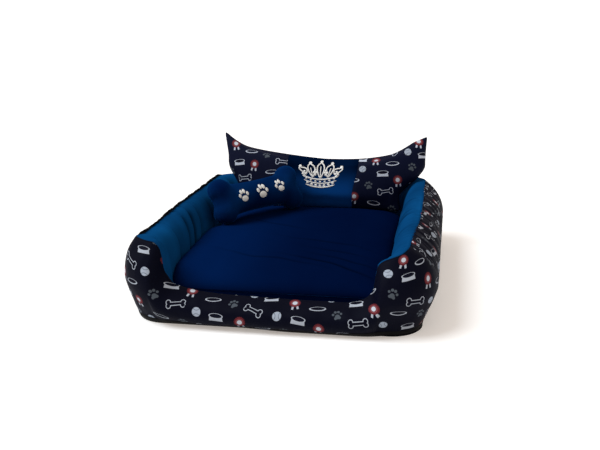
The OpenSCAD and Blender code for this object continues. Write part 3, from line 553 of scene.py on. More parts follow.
def side_run(sx):
    """Stations straight along a side wall, from front to rear, where it sags a little. The right
    wall's ridge bends inwards to the front and 3 mm outwards in the middle."""
    t = np.linspace(0, 1, 120)
    run = between_rows(corner(sx, -1, np.array([0.0])), corner(sx, 1, np.array([0.0])), t)
    run[:, 4] = SIDE_H - (SAG_RIGHT if sx > 0 else SAG_LEFT) * smooth((t - 0.35) / 0.65)
    if sx > 0:
        run[:, 5] = RIDGE_IN + RIDGE_BEND * (1 - smooth(t / 0.4)) - 3 * np.sin(np.pi * t)
    return run


def rear_run():
    """Stations from the left side's rear end round both rear corners."""
    left, right = corner(-1, 1, np.linspace(0, 90, 40)), corner(1, 1, np.linspace(90, 0, 40))
    return np.vstack([left, between_rows(left[-1], right[0], np.linspace(0, 1, 120)[1:-1]), right])


def evenly(run, step):
    """The run read again at even steps of its outer length, and the length gone at each."""
    gone = length_gone(run[:, :2])
    at = np.linspace(0, gone[-1], int(gone[-1] / step) + 1)
    return np.column_stack([np.interp(at, gone, c) for c in run.T]), at


def section(run, part, n):
    """Points of a wall at every station. The outside swells from its foot to half height as a
    power, nearly straight at the right front corner, and draws in to the ridge as another. The
    inside falls from the ridge over a rounded shoulder, or straight down where the wall is low, to
    half height and then to its foot. The front's foot stands out a little to the right."""
    out, inn, h, ridge, slim = run[:, :2], run[:, 2:4], run[:, 4:5], run[:, 5:6], run[:, 6:7]
    width = np.linalg.norm(inn - out, axis=1)[:, None]
    mid = (h + BASE_T) / 2
    t = np.linspace(0, 1, n)[None]
    if part == "outer":
        low, up = 1 - np.minimum(2 * t, 1), np.maximum(2 * t - 1, 0)
        x, y = out[:, :1], out[:, 1:]
        cut = smooth((np.abs(x) - CUT_X) / CUT_OVER) * smooth((-y - CUT_Y) / CUT_OVER)
        cut = cut * np.where(x < 0, CUT_LEFT, 1)
        proud = smooth((x - PROUD_FROM) / 120) * smooth((PROUD_TO - x) / 60) * (y < -PROUD_Y)
        foot = FOOT_IN + CUT_IN * cut - PROUD * proud
        power = np.maximum(SWELL_LEAST, SWELL - SWELL_DRAWN * slim - SWELL_CUT * cut)
        p = slim + np.where(t < 0.5, (foot - slim) * low ** power, (ridge - slim) * up ** DRAW_IN)
        z = np.where(t < 0.5, mid + (BASE_T - mid) * low, mid + (h - mid) * up)
    else:
        a = np.minimum(t / SHOULDER, 1) * np.pi / 2
        power = STRAIGHT - (STRAIGHT - ROUNDED) * smooth((h - STRAIGHT_H) / (ROUNDED_H - STRAIGHT_H))
        p = ridge + (width - ridge) * np.sin(a) ** power
        z = mid + (h - mid) * np.cos(a) + (BASE_T - mid) * np.maximum(t - SHOULDER, 0) / (1 - SHOULDER)
    along = (inn - out) / width
    xy = out[:, None, :] + along[:, None, :] * p[..., None]
    return with_heights(xy, z)


def cloth_position(grid, gone, gather=1.0, lean=0.0):
    """Where each point lies on the flat cloth: length along the wall, which on a smooth wall is
    measured on every row from the middle, and length up it."""
    steps = np.linalg.norm(np.diff(grid, axis=1), axis=2)
    up = np.concatenate([np.zeros((len(grid), 1)), np.cumsum(steps, axis=1)], axis=1)
    along = (gone[:, None] - lean) * gather + 0 * up
    if gather == 1:
        along[1:] = np.cumsum(np.linalg.norm(np.diff(grid[..., :2], axis=0), axis=2), axis=0)
        along = along - along[len(along) // 2]
    return np.stack([along, up], -1)


def folds_lean(s, v):
    """How far along a gathered wall its folds drift as they run down it: 60 mm, most of it just
    below the ridge, and less near the front."""
    return 60 * (1 - v ** 3) * smooth((s - 20) / 170)


def gathers(s, v, seed):
    """Ruching: rounded folds with sharp valleys from seam to seam, at the CAD's own spacing, and
    between them shorter folds that fade out up the wall. 0 on a fold's top, 1 in a deep valley."""
    pitch = s[-1, 0] / GATHERS
    s = s - folds_lean(s, v)
    wander = rumple(s, v, seed, (7, 60, 1.3), (2, 22, 2))

    def folds(every, phase):
        """1 less the size of a sine wave to the power 0.8, which is sharp in its valleys."""
        return 1 - np.abs(np.sin(np.pi * ((s + wander) / every + phase))) ** 0.8

    seams = np.maximum(smooth((v - 0.78) / 0.2), smooth((0.14 - v) / 0.14))
    coming = smooth(0.5 + 0.9 * noise(s / pitch, v * 1.2, seed + 2))
    return (0.68 * folds(pitch, 0.5) * (1 - 0.35 * seams) + 0.42 * folds(pitch / 2.17, 0.2) * coming
            + 0.26 * folds(pitch / 3.6, 0.4) * seams)


def outer_wall(name, run, nodes, gathered, seed):
    """A printed outer cover: the section moved along its normals by the ruching, which is held
    flatter at the foot and at the ridge, or by soft noise on the smooth front. Returns its grid."""
    step, n = (2.6, 64) if gathered else (1.8, 48)
    run, gone = evenly(run, step)
    grid = section(run, "outer", n)
    out = turned_out(grid)
    side = np.sign(np.sum(out[:, n // 2, :2] * (run[:, :2] - run[:, 2:4])))
    s, v = places(gone, n)
    if gathered:
        held = np.linspace(0.4, 1, n) * (1 - 0.6 * smooth((v - 0.84) / 0.16))
        lift = (GATHER_TOP - GATHER_VALLEY * gathers(s, v, seed)) * held
        cloth_lean, gather = folds_lean(s, v), GATHER_RATIO
    else:
        lift = rumple(s, v, seed, (1.3, 38, 3), (0.6, 14, 6)) * smooth(v / 0.1) * smooth((1 - v) / 0.12)
        cloth_lean, gather = 0.0, 1.0
    grid = grid + side * out * lift[..., None]
    cloth = cloth_position(grid, gone, gather, cloth_lean)
    # read backwards, a face points the other way
    faces = grid_faces(len(grid), n)[:, ::int(side)]
    piece = thicken(mesh_piece(name, grid, faces, PRINT, cloth), CLOTH_T)
    dress(piece, "bed", nodes)
    return grid


def inner_wall(name, run, nodes, folds, seed, pucker=0.0):
    """A velvet inner cover with soft folds where the roll is sat on and pushed along, and small
    puckers below its ridge, where the gathered side pulls at it. folds are [place along the wall,
    slant, depth] in millimetres, and pucker is the puckers' depth. A fold is a bell curve across
    its line, with a bulge beside it."""
    run, gone = evenly(run, 2.5 if pucker else 4)
    n = 44
    grid = section(run, "inner", n)
    s, v = places(gone, n)
    out = turned_out(grid)
    side = np.sign(np.sum(out[:, n // 3, 2]))
    lift = rumple(s, v, seed, (1.8, 70, 2.5), (0.7, 25, 5))
    crease = np.zeros_like(s)
    for place, slant, depth in folds:
        off = s - place - slant * (v - 0.3) - 5 * noise(v * 4, 0 * v, seed + 3)
        lift = lift - depth * bell(off, FOLD_W) + BULGE * depth * bell(off + BULGE_OFF, BULGE_W)
        # painted shade in the fold's crease: darker for a deeper fold, reaching further to the rear than
        # to the front, and none at the ridge
        dark = bell(np.maximum(off / CREASE_REAR, off / -CREASE_FRONT), 1)
        crease = np.maximum(crease, min(1, depth / 12) * dark * smooth((v - 0.04) / 0.25))
    way = s + 9 * v + 4 * noise(s / 30, v * 3, seed + 5)
    sharp = 1 - np.abs(np.sin(np.pi * way / PUCKER_GAP)) ** 0.7
    here = bell(v, 0.2) * np.maximum(0, 0.3 + noise(s / 33, 0 * v, seed + 6))
    lift = lift * smooth(v / 0.1) * smooth((0.8 - v) / 0.15) - pucker * sharp * here
    # where the wall is low the roll is too narrow to fold
    low = np.clip((run[:, 4:5] - 70) / 50, 0, 1)
    grid = grid + side * out * (lift * low)[..., None]
    faces = grid_faces(len(grid), n)[:, ::int(side)]
    piece = mesh_piece(name, grid, faces, LIGHTER_WALL_VELVET, cloth_position(grid, gone), crease)
    dress(thicken(piece, CLOTH_T), "bed", nodes)


def tube(name, path, radius, finish, body, closed=False):
    """A cord along a path: circles of points square to it, with flat ends or closed to a ring."""
    sides = 8
    along = unit(np.roll(path, -1, 0) - np.roll(path, 1, 0) if closed else np.gradient(path, axis=0))
    up = unit(np.array([0, 0, 1.0]) - along * along[:, 2:3])
    side = np.cross(along, up)
    a = np.linspace(0, 2 * np.pi, sides + 1)[:-1, None]
    ring = path[:, None] + radius * (np.cos(a) * side[:, None] + np.sin(a) * up[:, None])
    if closed:
        ring = np.vstack([ring, ring[:1]])
    faces = grid_faces(len(ring), sides, wrap=True)[:, ::-1].tolist()
    if not closed:
        end = len(ring) * sides
        faces += [list(range(sides)), list(range(end - 1, end - sides - 1, -1))]
    dress(mesh_piece(name, ring, faces, finish), body)


def frill(name, ridge, height, finish, seed):
    """The seam allowance along a gathered ridge, evened out over 65 mm: a narrow strip that stands
    up, ripples a little and is lower at both ends."""
    reach = 12
    even = np.ones(2 * reach + 1) / (2 * reach + 1)
    ridge = np.stack([np.convolve(np.pad(c, reach, "edge"), even, "valid") for c in ridge.T], 1)
    gone = length_gone(ridge)
    side = unit(np.cross(np.gradient(ridge, axis=0), [0, 0, 1.0]))
    t = np.linspace(0, 1, 5)
    wave = 0.5 * np.sin(gone / 3.6 + 3 * noise(gone / 20, 0 * gone, seed))
    wave = wave + 1.0 * noise(gone / 24, 0 * gone, seed + 1)
    ends = smooth(gone / 30) * smooth((gone[-1] - gone) / 40)
    tall = height * (0.85 + 0.15 * noise(gone / 34, 0 * gone, seed + 2)) * (0.3 + 0.7 * ends)
    grid = ridge[:, None] + side[:, None] * (wave[:, None] * t ** 1.3)[..., None]
    grid[..., 2] += tall[:, None] * t - FRILL_SUNK
    piece = mesh_piece(name, grid, grid_faces(len(grid), 5), finish, cloth_position(grid, gone, 1.4))
    dress(thicken(piece, 1.2, offset=0), "bed")


front_grid = outer_wall("front_cover_print", front_run(), ("front_wall_outer_cover",),
                        gathered=False, seed=11)
left_grid = outer_wall("left_cover_gathered", side_run(-1), ("left_wall_outer_cover",),
                       gathered=True, seed=21)
right_grid = outer_wall("right_cover_gathered", side_run(1), ("right_wall_outer_cover",),
                        gathered=True, seed=31)
rear_grid = outer_wall("rear_cover_gathered", rear_run(), ("rear_wall_outer_cover",),
                       gathered=True, seed=41)
inner_wall("front_roll_velvet", front_run(), ("front_wall_inner_cover", "front_wall_filling",
                                              "left_post_filling", "right_post_filling"),
           folds=[], seed=51)
inner_wall("left_roll_velvet", side_run(-1), ("left_wall_inner_cover", "left_wall_filling"),
           folds=[(70, -20, 2.5), (132, -62, 19), (170, -56, 12), (214, -40, 5), (290, -20, 3)],
           seed=61, pucker=1.2)
inner_wall("right_roll_velvet", side_run(1), ("right_wall_inner_cover", "right_wall_filling"),
           folds=[(120, -30, 3), (215, 40, 7), (244, 30, 5), (330, 30, 4)], seed=71, pucker=1.3)
inner_wall("rear_roll_velvet", rear_run(), ("rear_wall_inner_cover", "rear_wall_filling"),
           folds=[], seed=81)
# the left wall's allowance is deeper, overlocked in black, and runs on round both its corners
left_ridge = np.vstack([front_grid[30:0:-1, -1], left_grid[:, -1], rear_grid[1:34, -1]])
frill("left_ridge_frill", left_ridge, height=10.5, finish=BINDING, seed=5)
frill("right_ridge_frill", right_grid[:, -1], height=4.0, finish=PRINT, seed=6)
frill("rear_ridge_frill", rear_grid[34:, -1], height=4.0, finish=PRINT, seed=7)
tube("front_seam_cord", front_grid[:, -1], 1.3, BINDING, "bed")


def base_binding():
    """The black band round the bottom edge, all the way round, with a rounded upper edge. At each
    of its profile's heights it stands out from the wall by the profile's own distance."""
    left, right = side_run(-1)[::-1][1:-1], side_run(1)[1:-1]
    run = np.vstack([front_run(), right, rear_run()[::-1], left])
    run = evenly(np.vstack([run, run[:1]]), 4)[0][:-1]
    # the lowest 26 of 96 rows reach well above the band
    lower = section(run, "outer", 96)[:, :26]
    out = unit(run[:, :2] - run[:, 2:4])
    z, proud = BAND_PROFILE.T
    foot = np.stack([np.interp(z, wall[:, 2], np.linalg.norm(wall[:, :2] - edge[:2], axis=1))
                     for wall, edge in zip(lower, run)])
    xy = run[:, None, :2] - out[:, None] * (foot - proud)[..., None]
    points = with_heights(xy, np.broadcast_to(z, foot.shape))
    points = np.vstack([points, points[:1]])
    piece = mesh_piece("base_binding", points, grid_faces(len(points), len(z)), BINDING)
    dress(thicken(piece, 1.5), "bed", ("base_band",))


base_binding()


# Mattress

def plan_y(x):
    """Half depth of the mattress's plan at x, less in its round corners by a circle's height."""
    past = np.maximum(0, np.abs(x) - (MATTRESS_X - MATTRESS_R))
    return MATTRESS_Y - MATTRESS_R + root(MATTRESS_R ** 2 - past ** 2)


def drawn(x, y):
    """A plan point with the sides drawn in between the corners, but not where the left wall is: a
    power 4 of how far out the point is, faded at the corners."""
    hx = smooth((MATTRESS_X - np.abs(x)) / (2 * MATTRESS_R))
    hy = smooth((MATTRESS_Y - np.abs(y)) / (2 * MATTRESS_R))
    return (x - np.sign(x) * PULL * hy * (x > 0) * (np.abs(x) / MATTRESS_X) ** 4,
            y - np.sign(y) * PULL * hx * (np.abs(y) / MATTRESS_Y) ** 4 + MATTRESS_MID)


def fullness(x, y):
    """How far the mattress's seam is pushed up along the left wall, in front of the pillow: three
    smooth steps multiplied."""
    return FULLNESS * smooth((-x - 120) / 80) * smooth((y + 262) / 50) * smooth((45 - y) / 60)


def mattress_top():
    """The velvet top: a crown of power 6 both ways, squarer where the left wall presses on it, with
    long low creases and hand marks."""
    p = np.sin(np.linspace(-np.pi / 2, np.pi / 2, 190))
    q = np.sin(np.linspace(-np.pi / 2, np.pi / 2, 180))
    x, qq = np.meshgrid(p * MATTRESS_X, q, indexing="ij")
    y = qq * plan_y(x)
    up = fullness(x, y)
    across = np.abs(x / MATTRESS_X)
    crown = (1 - across ** (CROWN_POWER + 0.8 * up)) * (1 - qq ** CROWN_POWER)
    rise = (CROWN - up) * root(crown)
    inside = smooth((1 - np.abs(qq)) / 0.12) * smooth((1 - across) / 0.12)
    soft = 1.6 * noise(x / 85, y / 75, 91) + 0.8 * noise(x / 34, y / 30, 92)
    bent = y + CREASE_SLANT * x + 14 * noise(x / 70, y / 90, 93)
    crease = np.zeros_like(x)
    for place, middle, reach, depth in MATTRESS_CREASES:
        crease += depth * bell(bent - place, CREASE_W) * bell(x - middle, reach)
    z = MATTRESS_SEAM_Z + CLOTH_T + up + rise + (soft - crease - 1.2) * inside
    grid = np.stack([*drawn(x, y), z], -1)
    # the creases also get painted shade through the attribute crease, at most 0.8
    piece = mesh_piece("mattress_top_velvet", grid, grid_faces(*x.shape), NAVY_VELVET, grid[..., :2],
                       np.minimum(0.8, 0.24 * crease * inside))
    dress(thicken(piece, CLOTH_T), "mattress",
          ("mattress_top_panel", "mattress_foam"))


def mattress_outline():
    """The plan's edge as one closed path: quarter circles, and straight lines between them, along
    which the sides are then drawn in."""
    middle = np.array([MATTRESS_X - MATTRESS_R, MATTRESS_Y - MATTRESS_R])
    path = []
    for sx, sy, turn in ((1, 1, 0), (-1, 1, 90), (-1, -1, 180), (1, -1, 270)):
        a = np.radians(np.linspace(turn, turn + 90, 20))
        path.append([sx, sy] * middle + MATTRESS_R * np.column_stack([np.cos(a), np.sin(a)]))
    path = np.vstack([rows for arc, after in zip(path, path[1:] + path[:1])
                      for rows in (arc, between_rows(arc[-1], after[0], np.linspace(0, 1, 60)[1:-1]))])
    return np.column_stack(drawn(*path.T))


def mattress_side():
    """The boxing: the outline carried up the side, a little slack between its seams, and open at
    the rear where the zip's two flaps close it."""
    path = mattress_outline()
    rear = (path[:, 1] > MATTRESS_MID + MATTRESS_Y - PULL - 4) & (np.abs(path[:, 0]) < BOXING_END)
    path = np.roll(path, -int(np.nonzero(rear)[0].max()) - 1, axis=0)
    path = path[:len(path) - int(rear.sum())]
    s, t = places(length_gone(path), 14)
    z = MATTRESS_Z + 2.4 + (MATTRESS_SEAM_Z - MATTRESS_Z - 2.8) * t + fullness(*path.T)[:, None] * t
    slack = np.sin(np.pi * t) * (0.9 * noise(s / 40, t * 2, 95) - 0.7)
    away = unit(path - [0, MATTRESS_MID])
    xy = path[:, None] + away[:, None] * slack[..., None]
    faces = grid_faces(*t.shape)[:, ::-1]
    cloth = np.stack([s, t * (MATTRESS_SEAM_Z - MATTRESS_Z - 2)], -1)
    piece = mesh_piece("mattress_side_velvet", with_heights(xy, z), faces, NAVY_VELVET, cloth)
    dress(thicken(piece, CLOTH_T), "mattress", ("mattress_boxing",))


def zip_flap(name, node):
    """A flap beside the mattress zip: a flat strip in its node's box with a stitched crease 4 mm
    from its folded edge, a bell curve 0.5 mm deep."""
    low, high = (np.array(c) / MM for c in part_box(node))
    x, z = np.meshgrid(np.linspace(low[0], high[0], 120), np.linspace(low[2], high[2], 12), indexing="ij")
    edge = z - low[2] if node.endswith("upper") else high[2] - z
    y = high[1] - 0.5 * bell(edge - 4, 0.8) + 0.15 * noise(x / 12, z / 9, 97)
    grid = np.stack([x, np.minimum(y, high[1]), z], -1)
    piece = mesh_piece(name, grid, grid_faces(*x.shape)[:, ::-1], NAVY_VELVET, grid[..., ::2])
    dress(thicken(piece, 1.9), "mattress", (node,))


mattress_top()
mattress_side()
zip_flap("mattress_flap_upper_velvet", "mattress_zip_flap_upper")
zip_flap("mattress_flap_lower_velvet", "mattress_zip_flap_lower")
edge = mattress_outline()
seam = np.column_stack([edge, MATTRESS_SEAM_Z + 1.2 + fullness(*edge.T)])
tube("mattress_piping", seam, 1.5, PILLOW_VELVET, "mattress", closed=True)


# Cushion and pillow

def inflate(obj, pressure, cap, slack, still):
    """Blows a closed soft piece up as cloth with no gravity, and returns its points. No point goes
    further than cap from where it began, and the share still of each move is given up."""
    start = points_of(obj.data)
    cloth = obj.modifiers.new("cloth", "CLOTH")
    s = cloth.settings
    s.use_pressure, s.uniform_pressure_force = True, pressure
    s.shrink_min = -slack
    s.quality = 6
    s.mass = 0.3
    s.tension_stiffness = s.compression_stiffness = 15
    s.bending_stiffness = 0.4
    s.effector_weights.gravity = 0
    cloth.collision_settings.use_collision = False
    scene = bpy.context.scene
    scene.frame_start, scene.frame_end = 1, FRAMES
    cloth.point_cache.frame_start, cloth.point_cache.frame_end = 1, FRAMES
    for f in range(1, FRAMES + 1):
        scene.frame_set(f)
    move = points_of(evaluated(obj).to_mesh()) - start
    obj.modifiers.remove(cloth)
    scene.frame_set(1)
    move -= move.mean(axis=0)
    far = np.linalg.norm(move, axis=1)[:, None]
    return start + move * np.minimum(1, cap / np.maximum(far, 1e-6)) * (1 - still)[:, None]


# The cushion's own axes: across it, up its lean and out of its face
TILT = np.radians(90 - LEAN)
ACROSS, UP = np.array([1.0, 0, 0]), np.array([0, np.cos(TILT), np.sin(TILT)])
OUT = np.array([0, -np.sin(TILT), np.cos(TILT)])


def half_width(v):
    """Half the cushion's width at height v, narrow at its foot, wide above the walls and drawn in
    between by half a sine wave, and how far it is shifted there."""
    spread = smooth((v / CUSHION_H - 0.15) / 0.45)
    wide = CUSHION_FOOT_W + (CUSHION_W - CUSHION_FOOT_W) * spread
    return wide / 2 - CUSHION_PULL * np.sin(np.pi * np.minimum(1, v / CUSHION_H)), SHIFT * spread


def between(marks, k):
    """Each interval between marks cut into k equal parts."""
    return np.interp(np.arange((len(marks) - 1) * k + 1) / k, np.arange(len(marks)), marks)


# Shares of a side panel's width, and of the height below and above the zip, closer to the edges
SIDE_MARKS = between([0, 0.133, 0.266, 0.45, 0.62, 0.77, 0.89, 0.96, 1], 2)
ROW_LOW = between([0, 0.06, 0.2, 0.42, 0.68, 1], 3)
ROW_HIGH = between([0, 0.2, 0.45, 0.7, 0.88, 0.96, 1], 3)


def sagging(a):
    """How high the top edge stands at the share a of the half width, 0 in the middle and 1 at the
    corners: a power. The left side adds two, so it runs nearly straight to a thin tip, and the
    right side hangs lower."""
    b = np.abs(a)
    return np.where(a < 0, 0.62 * b ** 1.1 + 0.38 * b ** 6, b ** 2.7)


def cushion_grid():
    """u and v of every grid point, the share of height q from -1 to 1, half the width and its shift.
    Columns run along the two panel seams and rows along the zip's slot, so that panels part along
    them."""
    middle = between([-1, 1], 18)[1:-1]
    ones = np.ones(len(SIDE_MARKS))
    part = np.r_[-ones, 0 * middle, ones][:, None]
    share = np.r_[SIDE_MARKS[::-1], middle, SIDE_MARKS][:, None]

    def across(half):
        """The centre panel keeps its width, and the side panels share the rest."""
        past = (half - PANEL_W / 2) * share
        return np.where(part == 0, share * PANEL_W / 2, part * (PANEL_W / 2 + past))

    full = half_width(CUSHION_H)[0]
    top = CUSHION_H - CUSHION_DIP * (1 - sagging(across(full) / full))
    low, high = ZIP_V - SLOT_W / 2, ZIP_V + SLOT_W / 2
    v = np.concatenate([np.ones_like(part) * low * ROW_LOW, high + (top - high) * ROW_HIGH], axis=1)
    half, shift = half_width(v)
    return across(half), v, 2 * v / top - 1, half, shift


def in_cushion(u, v, w):
    """Cushion coordinates, across, up its lean and out of its face, as points of the bed. The left
    corner is pulled further out."""
    u = u - CORNER_OUT * smooth((v / CUSHION_H - 0.6) / 0.4) * smooth((-u - 150) / 90)
    foot = np.array([0, CUSHION_Y, CUSHION_Z])
    return foot + u[..., None] * ACROSS + v[..., None] * UP + w[..., None] * OUT


def make_cushion():
    """The back cushion: two faces that bulge as roots of 1 less a power, on one rim, blown up as
    one closed cover and then parted into its panels."""
    u, v, q, half, shift = cushion_grid()
    m, n = u.shape
    p = np.abs(u / half)
    front = (CUSHION_FRONT - 3) * root((1 - p ** 3) * (1 - np.abs(q) ** 3)) + 1.2
    rear = -CUSHION_REAR * root((1 - p ** 12) * (1 - np.abs(q) ** 12)) - 1.2
    rim = np.ones((m, n), bool)
    rim[1:-1, 1:-1] = False
    front[rim] = 0
    # both faces share the rim's points
    number = np.arange(m * n).reshape(m, n)
    behind = number.copy()
    behind[~rim] = m * n + np.arange((~rim).sum())
    points = np.vstack([in_cushion(u + shift, v, front).reshape(-1, 3),
                        in_cushion(u + shift, v, rear)[~rim]])
    # the pressure acts out of the faces, so here they run round the other way
    quads = grid_faces(m, n)[:, [0, 3, 2, 1]]
    both = np.vstack([quads, behind.ravel()[quads][:, ::-1]])
    whole = mesh_piece("cushion_whole", points, both, PRINT)
    # the foot rests, and the rear stays flat below and round the zip
    near_zip = bell(v - ZIP_V, 26) * (np.abs(u) < 150)
    still = np.concatenate([(smooth((-0.55 - q) / 0.3) * 0.8).ravel(),
                            np.maximum(near_zip, smooth((0.5 - q) / 0.4) * 0.75)[~rim]])
    moved = inflate(whole, pressure=3.2, cap=7, slack=0.035, still=still)
    bpy.data.objects.remove(whole)
    f, b = moved[number], moved[behind]
    # panel seams are drawn in a little, with small puckers beside them
    for s in (-1, 1):
        seam = bell(u - s * PANEL_W / 2, 3.5) * (~rim)
        f = f - OUT * (2.2 * seam * (1 + 0.5 * noise(v / 7, 0 * v, 23)))[..., None]
    cloth = np.stack([u + shift, v], -1)
    left, right = len(SIDE_MARKS) - 1, m - len(SIDE_MARKS)
    for name, first, last, finish, slot, nodes in (
            ("cushion_left_print", 0, left, CUSHION_PRINT, "print_cloth", ("cushion_left_panel",)),
            ("cushion_centre_velvet", left, right, CUSHION_VELVET, "mattress_velvet",
             ("cushion_centre_panel", "cushion_filling")),
            ("cushion_right_print", right, m - 1, CUSHION_PRINT, "print_cloth", ("cushion_right_panel",))):
        cols = slice(first, last + 1)
        face = f[cols]
        piece = mesh_piece(name, face, grid_faces(*face.shape[:2]), finish, cloth[cols])
        dress(thicken(subdivide(piece, 2), 1.6), "back_cushion", nodes)
    # beyond the zip's ends the two rear panels meet on one seam
    below = len(ROW_LOW) - 1
    shut = np.abs(u[:, below]) > SLOT_END + 1
    for name, rows, edge, node in (
            ("cushion_rear_lower_print", slice(0, below + 1), -1, "cushion_rear_lower_panel"),
            ("cushion_rear_upper_print", slice(below + 1, n), 0, "cushion_rear_upper_panel")):
        face = b[:, rows].copy()
        face[shut, edge] = (b[shut, below] + b[shut, below + 1]) / 2
        piece = mesh_piece(name, face, grid_faces(*face.shape[:2])[:, ::-1], CUSHION_PRINT,
                           cloth[:, rows] * [-1, 1])
        dress(thicken(subdivide(piece, 1), 1.6), "back_cushion", (node,))


make_cushion()


def bone_frame():
    """The pillow's own axes: along it, up it and out of its front, and its middle. It is turned
    towards the entry and leans back, as its solid does."""
    low, high = (np.array(c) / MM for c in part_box("bone_pillow_filling"))
    r = np.eye(3)
    for axis, degrees in (("Z", 48), ("X", 65), ("Z", 1)):
        r = r @ np.array(Matrix.Rotation(np.radians(degrees), 3, axis))
    return (low + high) / 2, *r.T


def bone_outline():
    """The bone's edge, and the line inside it where its crown is highest: four lobes of part
    circles, joined along the waist by curves of three points, one quarter mirrored twice."""
    a = np.radians(np.linspace(-40, 150, 26))
    arc = np.column_stack([BONE_REACH + LOBE_R * np.cos(a), LOBE_RISE + LOBE_R * np.sin(a)])
    start = arc[-1]
    bend = np.array([start[0] - (start[1] - WAIST_R) * np.tan(np.radians(30)), WAIST_R])
    curve = bent_line(start, bend, np.array([0, WAIST_R]), np.linspace(0, 1, 14)[1:])
    core = np.vstack([[[BONE_REACH - LOBE_R / 2, 1.0]],
                      np.tile([[BONE_REACH - 5, LOBE_RISE - 5]], (25, 1)),
                      np.column_stack([curve[:, 0], np.full(13, 5.0)])])

    def around(quarter):
        """The quarter mirrored to the left, and both below."""
        upper = np.vstack([quarter * [-1, 1], quarter[-2::-1]])
        return np.vstack([upper, upper[::-1] * [1, -1]])

    return around(np.vstack([arc, curve])), around(core)


def make_bone():
    """The bone pillow: nested outlines swell to a round crown on both faces; then it is remeshed
    at 4.5 mm, blown up as cloth and smoothed. Returns it and its frame."""
    edge, core = bone_outline()
    middle, ax, ay, az = bone_frame()
    shares = 1 - np.cos(np.linspace(0, np.pi / 2 * 0.93, 10))
    k = np.r_[shares[::-1], shares[1:]][:, None]
    side = np.r_[-np.ones(10), np.ones(9)][:, None]
    w = side * (BONE_SWELL - 1) * root(1 - (1 - k) ** 2) + 0 * edge[:, 0]
    x, y = (0.97 * (edge[:, i] * (1 - k) + core[:, i] * k) for i in (0, 1))
    points = middle + x[..., None] * ax + y[..., None] * ay + w[..., None] * az
    m, n = x.shape
    faces = grid_faces(m, n, wrap=True).tolist()
    faces += [list(range(n - 1, -1, -1)), list(range((m - 1) * n, m * n))]
    obj = mesh_piece("bone_start", points, faces, PILLOW_VELVET)
    remesh = obj.modifiers.new("remesh", "REMESH")
    remesh.mode, remesh.voxel_size = "VOXEL", 4.5 * MM
    shaped = bpy.data.meshes.new_from_object(evaluated(obj))
    obj.modifiers.remove(remesh)
    obj.data = shaped
    # its foot, below 115 mm, rests and hardly moves
    still = smooth((115 - points_of(shaped)[:, 2]) / 20) * 0.9
    moved = inflate(obj, pressure=3.5, cap=6, slack=0.04, still=still)
    # the seam round the edge is drawn in 2 mm between the two faces
    away = (moved - middle) @ az
    flat = moved - middle - away[:, None] * az
    level = 2.0 * bell(away, 3.2)[:, None]
    moved = moved - flat / np.maximum(np.linalg.norm(flat, axis=1)[:, None], 1) * level
    faces = [list(p.vertices) for p in shaped.polygons]
    bpy.data.objects.remove(obj)
    piece = subdivide(mesh_piece("bone_pillow_velvet", moved, faces, PILLOW_VELVET), 1)
    dress(piece, "bone_pillow",
          ("bone_pillow_front", "bone_pillow_rear", "bone_pillow_filling"))
    return piece, middle, ax, ay, az


bone, BONE_MID, BONE_X, BONE_Y, BONE_Z = make_bone()


# Embroidery

def stroke_grid(a, b, c, width):
    """A stroke along a curve of three points, tapered as a root at both ends and domed across:
    its points on the flat, how far each rises, and where each lies on the thread."""
    t = np.linspace(0, 1, 26)
    path = bent_line(*(np.array(k, float) for k in (a, b, c)), t)
    way = unit(np.gradient(path, axis=0))
    side = np.column_stack([-way[:, 1], way[:, 0]])
    e = np.linspace(-1, 1, 7)
    taper = np.sqrt(np.clip(np.minimum(t, 1 - t) * 14, 0.02, 1))[:, None]
    flat = path[:, None] + side[:, None] * (e * taper * width / 2)[..., None]
    rise = 1.1 * np.sqrt(1 - 0.98 * e ** 2) * taper
    return flat, rise, np.stack(np.meshgrid(60 * t, e * width, indexing="ij"), -1)


def spot_grid(middle, rx, ry):
    """An oval spot in five rings, domed to its middle: as stroke_grid."""
    a = np.linspace(0, 2 * np.pi, 25)[:-1]
    r = np.array([0.02, 0.35, 0.65, 0.88, 1.0])[:, None]
    flat = np.array(middle, float) + r[..., None] * np.stack([rx * np.cos(a), ry * np.sin(a)], -1)
    return flat, 1.2 * np.sqrt(1 - 0.98 * r ** 2) + 0 * a, flat


def stitched(name, marks, target, origin, across, up, out, body):
    """Satin stitch on a soft face. Each mark is a stroke or a spot, a domed grid laid on the face
    by casting a ray at it from each point."""
    shape = bpy.data.meshes.new_from_object(evaluated(target))
    tree = BVHTree.FromPolygons([v.co.copy() for v in shape.vertices],
                                [list(p.vertices) for p in shape.polygons])
    points, faces, cloth = [], [], []
    for kind, *mark in marks:
        flat, rise, lie = (stroke_grid if kind == "stroke" else spot_grid)(*mark)
        faces.append(grid_faces(*rise.shape, wrap=kind == "spot", start=len(points)))
        cloth.append(lie.reshape(-1, 2))
        for base, high in zip((origin + flat @ [across, up]).reshape(-1, 3), rise.ravel()):
            hit = tree.ray_cast(Vector((base + RAY_START * out) * MM), Vector(-out))[0]
            points.append((base if hit is None else np.array(hit) / MM) + out * (0.15 + high))
    faces, points = np.vstack(faces), np.array(points)
    a, b, c = (points[faces[:, i]] for i in range(3))
    turned = np.sum(np.cross(b - a, c - a) * out, axis=1) < 0
    faces[turned] = faces[turned][:, ::-1]
    dress(mesh_piece(name, points, faces, THREAD, np.vstack(cloth)), body)


